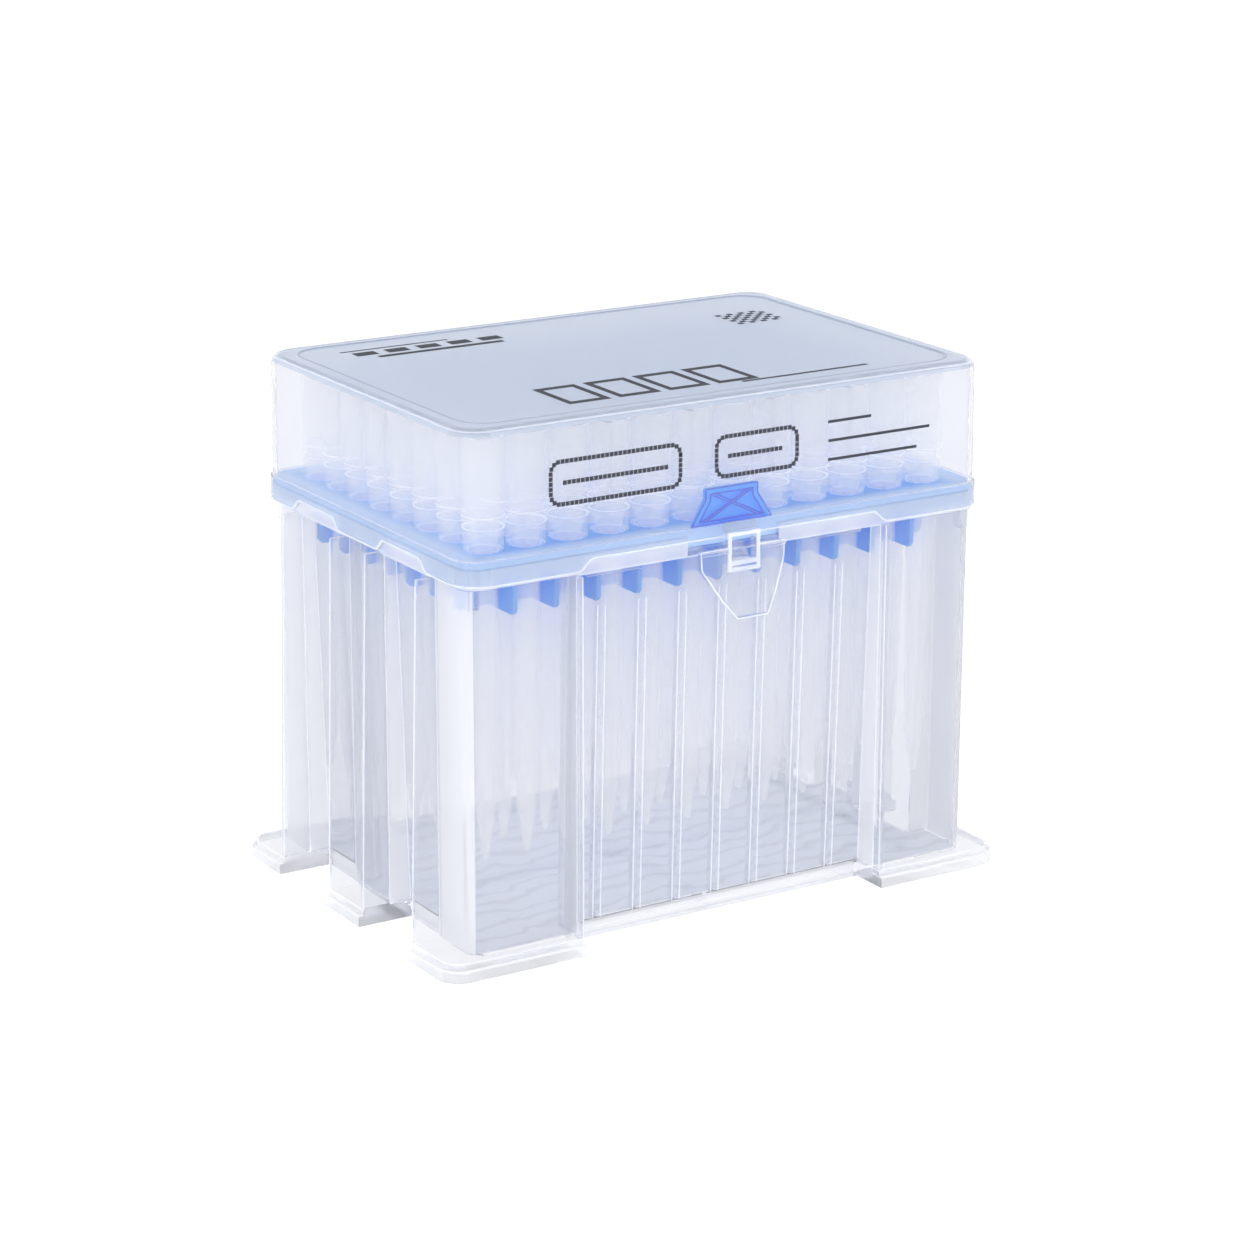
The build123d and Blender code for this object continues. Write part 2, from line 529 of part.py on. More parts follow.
lid.part.label = "lid"

# Latch: barrel, strap with a window, plate with a flared pull end
with BuildPart() as latch:
    front = latch_back - LATCH_THICKNESS
    with BuildSketch(Plane.YZ):
        with BuildLine():
            Polyline((latch_back, LATCH_TOP), (front, LATCH_TOP), (front, LATCH_BEND),
                     (front - LATCH_FLARE, LATCH_BOTTOM), (latch_back - LATCH_FLARE, LATCH_BOTTOM),
                     (latch_back, LATCH_BEND), close=True)
        make_face()
    extrude(amount=LATCH_HALF, both=True)
    waist, waist_z = LATCH_WAIST[0], LATCH_BEND + LATCH_WAIST[1]
    elbow, elbow_z = LATCH_ELBOW[0], LATCH_BOTTOM + LATCH_ELBOW[1]
    with BuildSketch(Plane.XZ.offset(-latch_back)):
        with BuildLine():
            Polyline((-LATCH_HALF, LATCH_TOP), (LATCH_HALF, LATCH_TOP), (waist, waist_z), (elbow, elbow_z),
                     (LATCH_END_HALF, LATCH_BOTTOM), (-LATCH_END_HALF, LATCH_BOTTOM), (-elbow, elbow_z),
                     (-waist, waist_z), close=True)
        make_face()
    extrude(amount=LATCH_FLARE + 2 * LATCH_THICKNESS, both=True, mode=Mode.INTERSECT)
    with BuildSketch(Plane.YZ):
        with Locations((latch_y, LATCH_Z)):
            Circle(LATCH_BARREL_R)
        with BuildLine():
            Polyline((latch_back, LATCH_Z), (latch_back - STRAP_THICKNESS, LATCH_Z - LATCH_BARREL_R),
                     (latch_back - STRAP_THICKNESS, WINDOW_BOTTOM - BAR_HEIGHT),
                     (latch_back, WINDOW_BOTTOM - BAR_HEIGHT), close=True)
        make_face()
    extrude(amount=STRAP_HALF, both=True)
    add(span(-WINDOW_HALF, WINDOW_HALF, latch_back + STRAP_THICKNESS, latch_back - 2 * STRAP_THICKNESS,
             WINDOW_BOTTOM, WINDOW_TOP), mode=Mode.SUBTRACT)
    add(span(-STRAP_HALF, STRAP_HALF, latch_back, latch_back - BAR_THICKNESS, WINDOW_BOTTOM - BAR_HEIGHT,
             WINDOW_BOTTOM))
    # lips along the plate's shoulders
    for side in (-1, 1):
        add(span(side * STRAP_HALF, side * LATCH_HALF, latch_back, front - LATCH_LIP[0],
                 LATCH_TOP - LATCH_LIP[1], LATCH_TOP))
latch.part.label = "latch"

os.makedirs("parts", exist_ok=True)
export_step(base_box.part, "parts/base_box.step")
export_step(rack_plate.part, "parts/rack_plate.step")
export_step(lid.part, "parts/lid.step")
export_step(latch.part, "parts/latch.step")
for column in range(COLUMNS):
    x = PITCH * (column - (COLUMNS - 1) / 2)
    tips = [tip.part.moved(Location((x, PITCH * (row - (ROWS - 1) / 2), 0))) for row in range(ROWS)]
    name = f"tips_column_{column + 1:02d}"
    export_step(Compound(label=name, children=tips), f"parts/{name}.step")
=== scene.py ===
"""Looks of a hinged pipette tip box, as an add-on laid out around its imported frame.

Everything is in metres in the frame's own axes: +X along the long side, -Y towards the latch, +Z up.
Sizes written in millimetres are turned to metres by MM.
"""
import math

import bpy
import numpy as np
from mathutils import Matrix, Vector


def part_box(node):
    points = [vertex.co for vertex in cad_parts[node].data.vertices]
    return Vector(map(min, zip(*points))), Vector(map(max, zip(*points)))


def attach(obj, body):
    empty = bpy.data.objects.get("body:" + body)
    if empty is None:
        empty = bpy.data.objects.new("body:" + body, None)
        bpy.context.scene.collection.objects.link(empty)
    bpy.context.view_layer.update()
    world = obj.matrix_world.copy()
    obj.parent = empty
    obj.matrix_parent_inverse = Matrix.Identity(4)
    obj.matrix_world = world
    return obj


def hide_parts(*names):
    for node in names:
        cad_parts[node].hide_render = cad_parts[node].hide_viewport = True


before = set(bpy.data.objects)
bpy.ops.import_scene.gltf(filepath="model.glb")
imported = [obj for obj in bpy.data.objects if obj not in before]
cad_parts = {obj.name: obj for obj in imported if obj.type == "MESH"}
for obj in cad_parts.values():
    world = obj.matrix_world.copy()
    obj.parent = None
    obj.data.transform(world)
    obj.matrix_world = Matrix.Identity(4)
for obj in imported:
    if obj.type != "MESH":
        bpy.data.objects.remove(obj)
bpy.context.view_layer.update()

bl_info = {
    "name": "Pipette tip box",
    "version": (1, 0, 0),
    "blender": (4, 5, 0),
    "location": "View3D > Sidebar > Tip box",
    "description": "Finishes, tips, print and stage for a hinged box of pipette tips",
    "category": "Object",
}

MM = 0.001
COLUMNS = sorted(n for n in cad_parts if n.startswith("tips_column_"))
ROWS = 8
PITCH = 9 * MM
AROUND = 48                      # points round a tip

# Places read from the frame
LID_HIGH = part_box("lid")[1]
TIP_LOW, TIP_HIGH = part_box(COLUMNS[0])
RACK_DECK = TIP_LOW[2] + 60.3 * MM   # the rack's upper face, on which every tip hangs

# Sizes that the boxes of the nodes don't give
TOP_HALF_X, TOP_HALF_Y = 58.4 * MM, 40.16 * MM
LID_DRAFT = 0.011
PANEL_INSET, PANEL_DEPTH = 4 * MM, 0.25 * MM
FLOOR_TOP = 3.4 * MM

# Sizes of the base in millimetres; x and y are half sizes
WALL_X, WALL_Y, WALL_RADIUS = 56.98, 39.69, 3.8
SHELF = 74.2                                       # underside of the shelf that closes the recesses
PILLAR_X, PILLAR_Y, MIDDLE_Y = 34.3, 26.7, 7.0     # corner pillars' inner sides; half a middle pillar
RECESS_LONG, RECESS_END = (5.35, 3.15), (4.6, 2.5)  # depths of the recesses at the floor and the shelf
FOOT_X, FOOT_Y, FOOT_RADIUS = 63.88, 42.74, 5.0
FOOT_TOP, FOOT_STEP, STEP_Z = 3.3, 1.0, 2.1        # the feet step in by FOOT_STEP at STEP_Z
NOTCH_HALF = 10.3                                  # half the gap in the rim behind the latch

# Sizes of the lid's skirt in millimetres
SKIRT_X, SKIRT_Y, SKIRT_RADIUS = 58.98, 40.99, 6.3
SKIRT_LOW, SKIRT_HIGH, SKIRT_SLANT = 75.1, 77.4, 2.3   # its lower edge, and the slant between

# Thin faces of painted light laid on the base, in millimetres
PROUD = 0.04                                       # how far they stand off
FACE_LOW, FACE_HIGH = 3.4, 74.0                    # foot and head of those on the walls
SIDE_LONG, SIDE_END = (5.3, 3.2), (4.55, 2.55)     # depths at foot and head of the recesses' sides
FOOT_FACES = ((0.05, STEP_Z, -0.04), (STEP_Z, 3.25, 0.96))   # foot, head and inset of those round the feet
RIM_X, RIM_Y, RIM_RADIUS = 57.87, 39.88, 3.99      # the one round the rim
RIM_LOW, RIM_HIGH = 74.3, 77.9

# Softboxes: name, place, size in metres and power
STAGE_LIGHTS = (("softbox left", (-0.9, -0.5, 0.5), 0.8, 1.0), ("softbox right", (0.9, -0.7, 0.5), 0.8, 0.7))


# ---------------------------------------------------------------- colours, materials and meshes

def linear(hex_code):
    """sRGB hex, such as "E5E8F2", to a linear RGB triple."""
    parts = [int(hex_code[i:i + 2], 16) / 255 for i in (0, 2, 4)]
    return tuple(c / 12.92 if c <= 0.04045 else ((c + 0.055) / 1.055) ** 2.4 for c in parts)


def node(tree, kind, settings=None, inputs=None):
    """Adds a node of this kind, sets its properties, and sets or links its inputs."""
    made = tree.nodes.new(kind)
    for name, value in (settings or {}).items():
        setattr(made, name, value)
    for name, value in (inputs or {}).items():
        if isinstance(value, bpy.types.NodeSocket):
            tree.links.new(value, made.inputs[name])
        else:
            made.inputs[name].default_value = value
    return made


def new_material(name):
    """An empty node material and its tree, with the output node."""
    material = bpy.data.materials.new(name)
    material.use_nodes = True
    tree = material.node_tree
    tree.nodes.clear()
    output = tree.nodes.new("ShaderNodeOutputMaterial")
    return material, tree, output


def rgba(colour):
    """A colour property as the four numbers that a socket takes."""
    return (colour[0], colour[1], colour[2], 1.0)


def mesh_object(name, points, faces, smooth=True):
    """A mesh object at the origin from an (n, 3) array of points and an (m, k) array of faces."""
    mesh = bpy.data.meshes.new(name)
    mesh.from_pydata(points.tolist(), [], faces.tolist())
    mesh.validate()
    if smooth:
        mesh.shade_smooth()
        mesh.set_sharp_from_angle(angle=math.radians(35))
    made = bpy.data.objects.new(name, mesh)
    bpy.context.scene.collection.objects.link(made)
    return made


def grid_faces(rows, columns, wrap):
    """Quads of a rows by columns grid of points; wrap joins the last column to the first."""
    last = columns if wrap else columns - 1
    row, column = np.meshgrid(np.arange(rows - 1), np.arange(last), indexing="ij")
    after = (column + 1) % columns
    corners = [row * columns + column, row * columns + after,
               (row + 1) * columns + after, (row + 1) * columns + column]
    return np.stack([c.ravel() for c in corners], axis=1)


def rounded_outline(half_x, half_y, radius, steps=8):
    """A rounded rectangle's outline: four quarter circles, each centre + radius (cos a, sin a)."""
    angle = np.linspace(0, np.pi / 2, steps)
    corners = ((half_x, half_y, 0), (-half_x, half_y, 1), (-half_x, -half_y, 2), (half_x, -half_y, 3))
    return np.concatenate([
        np.stack([x - np.sign(x) * radius + radius * np.cos(angle + turn * np.pi / 2),
                  y - np.sign(y) * radius + radius * np.sin(angle + turn * np.pi / 2)], axis=1)
        for x, y, turn in corners])


def patches(centres, half_sizes):
    """Flat rectangles in a plane: their corners (4 n, 2) and faces (n, 4)."""
    centres, half_sizes = np.asarray(centres, float), np.asarray(half_sizes, float)
    signs = np.array([(-1, -1), (1, -1), (1, 1), (-1, 1)])
    corners = centres[:, None, :] + signs[None] * np.broadcast_to(half_sizes, centres.shape)[:, None, :]
    return corners.reshape(-1, 2), np.arange(4 * len(centres)).reshape(-1, 4)


def beads(lines, radius):
    """Thin six-sided bars, in metres, along lines given in millimetres, one bar a step.

    Each bar is p + radius (u cos a + v sin a) at both ends of its step, with u and v square to the step."""
    starts = np.concatenate([np.asarray(line, float)[:-1] for line in lines]) * MM
    ends = np.concatenate([np.asarray(line, float)[1:] for line in lines]) * MM
    way = ends - starts
    way /= np.linalg.norm(way, axis=1, keepdims=True)
    other = np.where(np.abs(way[:, 2:]) < 0.8, (0.0, 0.0, 1.0), (1.0, 0.0, 0.0))
    u = np.cross(way, other)
    u /= np.linalg.norm(u, axis=1, keepdims=True)
    v = np.cross(way, u)
    angle = np.arange(6) * np.pi / 3
    ring = radius * MM * (u[:, None] * np.cos(angle)[:, None] + v[:, None] * np.sin(angle)[:, None])
    points = np.stack([starts[:, None] + ring, ends[:, None] + ring], axis=1)
    near = np.arange(6)
    one = np.stack([near, (near + 1) % 6, (near + 1) % 6 + 6, near + 6], axis=1)
    faces = one[None] + 12 * np.arange(len(starts))[:, None, None]
    return points.reshape(-1, 3), faces.reshape(-1, 4)


def recess_depth(low, high, z):
    """Depth in millimetres of a wall's recess at height z, a straight line from the floor to the shelf."""
    return low + (high - low) * z / SHELF


def base_edges():
    """Lines along the base's moulded edges, in millimetres: pillars, ribs, shelf and feet.

    At the shelf's height the fins on the feet stand out of the walls by fin_x and fin_y, and the shelf's own
    edge by shelf_x and shelf_y."""
    fin_x, fin_y, shelf_x, shelf_y = 4.1, 1.9, 0.85, 0.15
    lines = []
    for side in (-1, 1):
        for x in (-PILLAR_X, PILLAR_X):
            lines.append([(x, side * WALL_Y, FOOT_TOP), (x, side * WALL_Y, SHELF)])
            lines.append([(x, side * (WALL_Y - recess_depth(*RECESS_LONG, z)), z) for z in (2.0, SHELF)])
            lines.append([(x, side * (FOOT_Y - FOOT_STEP), FOOT_TOP),
                          (x, side * (WALL_Y + fin_y), SHELF)])
        for x in np.arange(-3, 4) * PITCH / MM:
            for edge in (-0.85, 0.85):
                lines.append([(x + edge, side * (WALL_Y - recess_depth(*RECESS_LONG, z)), z)
                              for z in (3.6, 66.5)])
        for y, z in ((WALL_Y + shelf_y, SHELF), (WALL_Y - SIDE_LONG[0], 1.9)):
            lines.append([(-PILLAR_X, side * y, z), (PILLAR_X, side * y, z)])
        for y in (-PILLAR_Y, -MIDDLE_Y, MIDDLE_Y, PILLAR_Y):
            lines.append([(side * WALL_X, y, FOOT_TOP), (side * WALL_X, y, SHELF)])
            lines.append([(side * (WALL_X - recess_depth(*RECESS_END, z)), y, z) for z in (2.0, SHELF)])
            lines.append([(side * (FOOT_X - FOOT_STEP), y, FOOT_TOP),
                          (side * (WALL_X + fin_x), y, SHELF)])
        for low, high in ((-PILLAR_Y, -MIDDLE_Y), (MIDDLE_Y, PILLAR_Y)):
            lines.append([(side * (WALL_X + shelf_x), y, SHELF) for y in (low, high)])
        for z, inset in ((STEP_Z, 0.0), (FOOT_TOP, FOOT_STEP)):
            x, y, radius = FOOT_X - inset, FOOT_Y - inset, FOOT_RADIUS - inset
            lines.append([(side * x, -MIDDLE_Y, z), (side * x, MIDDLE_Y, z)])
            for end in (-1, 1):
                outline = np.vstack([[(side * x, end * PILLAR_Y)], quarter(x, y, radius, side, end, 90),
                                     [(side * PILLAR_X, end * y), (side * PILLAR_X, end * WALL_Y)]])
                lines.append(np.column_stack([outline, np.full(len(outline), z)]))
    return lines


def upright(strips):
    """Upright faces on lines in plan, in metres: each strip gives its points (x, y), foot and head in mm."""
    points, faces, count = [], [], 0
    for plan, low, high in strips:
        plan = np.asarray(plan, float)
        points.append(np.column_stack([np.tile(plan, (2, 1)), np.repeat((low, high), len(plan))]))
        faces.append(grid_faces(2, len(plan), wrap=False) + count)
        count += 2 * len(plan)
    return np.concatenate(points) * MM, np.concatenate(faces)


def floor_rims():
    """Outer faces of the floor slab between the feet, 0.05 mm proud of the foot of the recesses."""
    front, side = WALL_Y - SIDE_LONG[0], WALL_X - SIDE_END[0]
    low, high = 0.05, 3.5
    strips = [([(-33.4, y), (33.4, y)], low, high) for y in (-front, front)]
    strips += [([(x, start), (x, end)], low, high)
               for x in (-side, side) for start, end in ((-26.0, -7.8), (7.8, 26.0))]
    return upright(strips)


def quarter(half_x, half_y, radius, side, end, turn):
    """A rounded corner in plan from its x face: centre + radius (cos a, sin a), a from 0 to turn degrees."""
    arc = np.radians(np.linspace(0, turn, 9))
    return np.column_stack([side * (half_x - radius + radius * np.cos(arc)),
                            end * (half_y - radius + radius * np.sin(arc))])


def pillar_faces():
    """Thin faces just proud of the base: on the corner pillars' end sides and round the feet."""
    strips = []
    for side in (-1, 1):
        for end in (-1, 1):
            corner = quarter(WALL_X + PROUD, WALL_Y + PROUD, WALL_RADIUS + PROUD, side, end, 45)
            pillar = np.vstack([[(side * (WALL_X + PROUD), end * PILLAR_Y)], corner])
            strips.append((pillar, FACE_LOW, FACE_HIGH))
            for low, high, inset in FOOT_FACES:
                foot = quarter(FOOT_X - inset, FOOT_Y - inset, FOOT_RADIUS - inset, side, end, 90)
                strips.append((np.vstack([[(side * (FOOT_X - inset), end * PILLAR_Y)], foot,
                                          [(side * PILLAR_X, end * (FOOT_Y - inset))]]), low, high))
        for low, high, inset in FOOT_FACES:
            x = side * (FOOT_X - inset)
            strips.append(([(x, -MIDDLE_Y), (x, MIDDLE_Y)], low, high))
    return upright(strips)


def recess_sides():
    """Side faces of the recesses, just proud of them, in metres; their inner edge leans with the recess."""
    def corners(low, high):
        return ((low, FACE_LOW), (0, FACE_LOW), (0, FACE_HIGH), (high, FACE_HIGH))
    outer, inner = PILLAR_Y - PROUD, MIDDLE_Y + PROUD
    quads = []
    for side in (-1, 1):
        for x in (PROUD - PILLAR_X, PILLAR_X - PROUD):
            quads.append([(x, side * (WALL_Y - depth), z) for depth, z in corners(*SIDE_LONG)])
        for y in (-outer, -inner, inner, outer):
            quads.append([(side * (WALL_X - depth), y, z) for depth, z in corners(*SIDE_END)])
    points = np.array(quads).reshape(-1, 3)
    return points * MM, np.arange(len(points)).reshape(-1, 4)


def ring_line(half_x, half_y, radius, height):
    """A closed line round a rounded rectangle, in mm; height is a number or a function of x and y."""
    outline = rounded_outline(half_x, half_y, radius)
    outline = np.vstack([outline, outline[:1]])
    outline = spaced(outline, 1.0)
    outline = np.vstack([outline, outline[:1]])
    heights = [height(x, y) if callable(height) else height for x, y in outline]
    return np.column_stack([outline, heights])


def skirt_edge(x, y):
    """Height of the skirt's lower edge: raised over the recesses of the base, slanting down beside them."""
    if abs(y) > SKIRT_Y - 0.5:
        return float(np.interp(abs(x), (PILLAR_X - SKIRT_SLANT, PILLAR_X), (SKIRT_HIGH, SKIRT_LOW)))
    places = (10.0 - SKIRT_SLANT, 10.0, PILLAR_Y - SKIRT_SLANT, PILLAR_Y)
    return float(np.interp(abs(y), places, (SKIRT_LOW, SKIRT_HIGH, SKIRT_HIGH, SKIRT_LOW)))


def lid_edges():
    """Lines along the lid's moulded edges, in millimetres: skirt, ledge and top."""
    top = LID_HIGH[2] / MM
    return [ring_line(59.0, 41.0, 6.3, skirt_edge), ring_line(57.9, 39.66, 5.5, top - 0.55)]


def lid_border():
    """Border of the lid's top from its panel out over the rounded edge, 0.03 mm proud of the moulding.

    Over the edge, whose radius is r, the inset is r (1 - sin t) and the drop r (1 - cos t) at a turn t."""
    edge, corner, proud = 2, 6.0, 0.03 * MM
    turn = np.radians((0, 15, 30, 45, 60, 75))
    insets = np.concatenate([[4.06, 4.03], edge * (1 - np.sin(turn))])
    drops = np.concatenate([[0.25, 0.0], edge * (1 - np.cos(turn))])
    radii = np.where(insets > 4, corner, corner - insets)
    rows = []
    for inset, drop, radius in zip(insets, drops, radii):
        outline = rounded_outline(TOP_HALF_X - inset * MM + proud, TOP_HALF_Y - inset * MM + proud,
                                  radius * MM)
        rows.append(np.column_stack([outline, np.full(len(outline), LID_HIGH[2] - drop * MM + proud)]))
    return np.concatenate(rows), grid_faces(len(rows), len(rows[0]), wrap=True)


def skirt_film():
    """Outside of the lid's skirt, just proud of it, from its lower edge up to the ledge, in metres."""
    proud, ledge = 0.03, 79.55
    low = ring_line(SKIRT_X + proud, SKIRT_Y + proud, SKIRT_RADIUS + proud, skirt_edge)
    high = low * (1, 1, 0) + (0, 0, ledge)
    return np.concatenate([low, high]) * MM, grid_faces(2, len(low), wrap=False)


def tab_edges():
    """Lines on the rack's tab, in millimetres: its outline and border, and the edges of its crossed ribs."""
    front = -39.02
    def mirrored(half):
        points = [(-x, z) for x, z in half[:1]] + half + [(-x, z) for x, z in half[:0:-1]]
        return [(x, front, z) for x, z in points + points[:1]]
    lines = [mirrored([(9.0, 79.5), (5.8, 84.4), (5.8, 86.4)]),
             mirrored([(7.3, 80.2), (4.8, 84.0), (4.8, 85.4)])]
    for side in (-1, 1):
        for edge in (-0.5, 0.5):
            lines.append([(side * 6.25 + edge, front, 80.2), (side * -4.3 + edge, front, 85.4)])
    return lines


def latch_edges():
    """Lines of the latch, in millimetres: the outline of its plate, and the bars of its strap."""
    back, front, flare = -42.04, -43.14, 3.6
    bend, foot, strap = 71.0, 62.8, 3.4
    def out(z):
        return front - flare * max(0.0, (bend - z) / (bend - foot))
    half = [(strap, 75.5), (9.4, 75.5), (9.2, 72.0), (5.8, 66.0), (strap, foot)]
    lines = [[(side * x, out(z), z) for x, z in half] for side in (-1, 1)]
    lines.append([(-strap, out(foot), foot), (strap, out(foot), foot)])
    face = back - 1.4
    bars = [[(x, face, 71.1), (x, face, 78.6)] for x in (-3.2, 3.2)]
    bars += [[(-strap, face, z), (strap, face, z)] for z in (71.4, 72.6, 78.2)]
    return lines, bars


def turned(profile, around):
    """Points of a profile of (radius, height) pairs turned about the upright axis.

    x = r cos a, y = r sin a, z = h, with a in equal steps over the whole turn; a is the last index."""
    angle = np.linspace(0, 2 * np.pi, around, endpoint=False)
    radius, height = np.asarray(profile, float).T
    return np.stack([np.outer(radius, np.cos(angle)), np.outer(radius, np.sin(angle)),
                     np.repeat(height[:, None], around, axis=1)], axis=-1)


def tip_surface(fin_count, fin_height):
    """One tip's whole skin, inside and out, standing on the deck at the middle of the rack.

    A turned profile of (radius in mm, height in m); over the neck the radius gains
    fin_height * max(0, cos(n a))^6, which gives n upright fins.
    The last value is 1 for the faces of its shoulder, its ring's edges and its mouth, else 0."""
    deck = RACK_DECK
    bottom, top = TIP_LOW[2], TIP_HIGH[2]
    ring_low, ring_high = deck + 4.4 * MM, deck + 6.8 * MM
    knee = bottom + 9 * MM
    seal_high, seal_low = top - 0.8 * MM, top - 8.8 * MM
    outer = [(0.45, bottom), (0.60, bottom), (0.65, bottom + 0.05 * MM), (0.74, bottom + 0.6 * MM),
             (1.90, knee - 0.3 * MM), (1.98, knee + 0.8 * MM), (2.38, (knee + deck) / 2),
             (2.8, deck - 0.3 * MM), (2.8, deck),
             (3.40, deck), (3.5, deck + 0.1 * MM), (3.5, ring_low - 0.15 * MM), (3.55, ring_low),
             (4.0, ring_low), (4.1, ring_low + 0.15 * MM), (4.1, ring_high - 0.15 * MM), (4.0, ring_high),
             (3.95, ring_high + 0.05 * MM), (3.95, top - 0.12 * MM), (3.83, top)]
    inner = [(3.65, top), (3.40, seal_high), (3.40, seal_low), (3.05, ring_low), (2.35, deck - 1 * MM),
             (1.93, (knee + deck) / 2), (1.50, knee), (0.50, bottom + 0.3 * MM), (0.45, bottom)]
    profile = np.array(outer + inner)
    profile[:, 0] *= MM
    points = turned(profile, AROUND)
    angle = np.linspace(0, 2 * np.pi, AROUND, endpoint=False)
    fin = fin_height * np.maximum(0, np.cos(fin_count * angle)) ** 6
    neck = slice(10, 12)
    points[neck, :, 0] += fin * np.cos(angle)
    points[neck, :, 1] += fin * np.sin(angle)
    band = np.repeat(np.arange(len(profile) - 1), AROUND)
    thick_bands = (8, 9, 12, 13, 15, 16, 18, 19)
    thick = np.isin(band, thick_bands).astype(np.int32)
    return points.reshape(-1, 3), grid_faces(len(profile), AROUND, wrap=True)[:, ::-1], thick


def floor_surface():
    """The box's floor inside its walls, at least 0.05 mm above it, on a grid whose lines follow the recesses.

    Low ripples run along the box, in mm: z = floor + 0.17 + 0.12 s sin(2 pi (y / 6 + 0.3 sin(2 pi x / 17))),
    where s = 0.5 + 0.5 sin(2 pi (x / 23 + 0.6 sin(2 pi y / 13))) makes them swell and die away."""
    inner_x, inner_y = 55.9 * MM, 38.6 * MM
    recess_x, recess_y = 33.4 * MM, 33.4 * MM
    side_low, side_high, side_x = 7.9 * MM, 25.8 * MM, 51.5 * MM
    lines_x = [-side_x, side_x, -recess_x, recess_x]
    lines_y = [-recess_y, recess_y, -side_high, -side_low, side_low, side_high]
    x = np.unique(np.concatenate([np.linspace(-inner_x, inner_x, 100), lines_x]))
    y = np.unique(np.concatenate([np.linspace(-inner_y, inner_y, 90), lines_y]))
    grid_y, grid_x = np.meshgrid(y, x, indexing="ij")
    ripple = np.sin(2 * np.pi * (grid_y / (6 * MM) + 0.3 * np.sin(2 * np.pi * grid_x / (17 * MM))))
    swell = np.sin(2 * np.pi * (grid_x / (23 * MM) + 0.6 * np.sin(2 * np.pi * grid_y / (13 * MM))))
    ripple *= 0.5 + 0.5 * swell
    points = np.stack([grid_x, grid_y, FLOOR_TOP + 0.17 * MM + 0.12 * MM * ripple], axis=-1).reshape(-1, 3)
    faces = grid_faces(len(y), len(x), wrap=False)
    middle = np.abs(points[faces].mean(axis=1))
    in_recess = (middle[:, 0] < recess_x) & (middle[:, 1] > recess_y)
    in_side = (middle[:, 0] > side_x) & (middle[:, 1] > side_low) & (middle[:, 1] < side_high)
    return points, faces[~(in_recess | in_side)]


def front_print():
    """Plain marks on the lid's front: two frames with a rule in each, in small squares, and three thin rules.

    A mark at (x, z) lies on the drafted wall, at y = -(half + (top - z) draft), just proud of it."""
    dots = []
    for low_x, high_x, low_z, high_z in ((-40.3, -12.3, 88.3, 96.3), (-4.3, 13.9, 88.8, 96.4)):
        middle_x, middle_z = (low_x + high_x) / 2, (low_z + high_z) / 2
        frame_line = rounded_outline((high_x - low_x) / 2, (high_z - low_z) / 2, 2.0) + (middle_x, middle_z)
        dots.append(spaced(np.vstack([frame_line, frame_line[:1]]), 0.95))
        dots.append(spaced(np.array([(low_x + 3, middle_z), (high_x - 3, middle_z)]), 0.95))
    centres = np.concatenate(dots)
    sizes = np.full(centres.shape, 0.42)
    rules = np.array([(26.0, 96.3, 5.0), (33.0, 92.6, 11.9), (31.5, 88.9, 10.4)])
    centres = np.vstack([centres, rules[:, :2]])
    sizes = np.vstack([sizes, np.column_stack([rules[:, 2], np.full(3, 0.28)])])
    flat, faces = patches(centres * MM, sizes * MM)
    drop = LID_HIGH[2] - flat[:, 1]
    return np.column_stack([flat[:, 0], -(TOP_HALF_Y + drop * LID_DRAFT + 0.02 * MM), flat[:, 1]]), faces


def top_print():
    """Plain marks in the sunk panel: two rules, a row of blocks, four open frames, a rule, a chequered patch.

    Each mark is its middle (x, y) and its half size, in millimetres."""
    blocks = [((-34.0, 30.6), (12.0, 0.35)), ((-27.0, 23.8), (14.0, 0.8))]
    blocks += [((-42.0 + 7.0 * i, 27.4), (2.4, 1.5)) for i in range(5)]
    for x in (-25.5, -14.5, -3.5, 7.5):
        blocks += [((x, -23.2 + side * 6.0), (4.6, 0.9)) for side in (-1, 1)]
        blocks += [((x + side * 3.9, -23.2), (0.7, 5.1)) for side in (-1, 1)]
    blocks += [((22.0, -31.0), (14.5, 0.5))]
    cell = 1.4
    blocks += [((36.5 + cell * i, 13.0 + cell * j), (0.68, 0.68))
               for i in range(8) for j in range(7) if (i + j) % 2 == 0]
    flat, faces = patches(np.array([b[0] for b in blocks]) * MM, np.array([b[1] for b in blocks]) * MM)
    height = np.full((len(flat), 1), LID_HIGH[2] - PANEL_DEPTH + 0.05 * MM)
    return np.hstack([flat, height]), faces


def spaced(line, step):
    """Points every step along a line of points."""
    lengths = np.concatenate([[0], np.cumsum(np.linalg.norm(np.diff(line, axis=0), axis=1))])
    places = np.arange(0, lengths[-1], step)
    return np.column_stack([np.interp(places, lengths, line[:, axis]) for axis in (0, 1)])


def leaning(points, angles):
    """The tip leant by small angles a and b about its hole's middle: x += a (z - deck), y += b (z - deck)."""
    rise = points[:, 2] - RACK_DECK
    return points + np.stack([angles[0] * rise, angles[1] * rise, 0 * rise], axis=1)


def dress(piece, material):
    """Puts one material on a piece."""
    piece.data.materials.clear()
    piece.data.materials.append(material)


# ---------------------------------------------------------------- settings

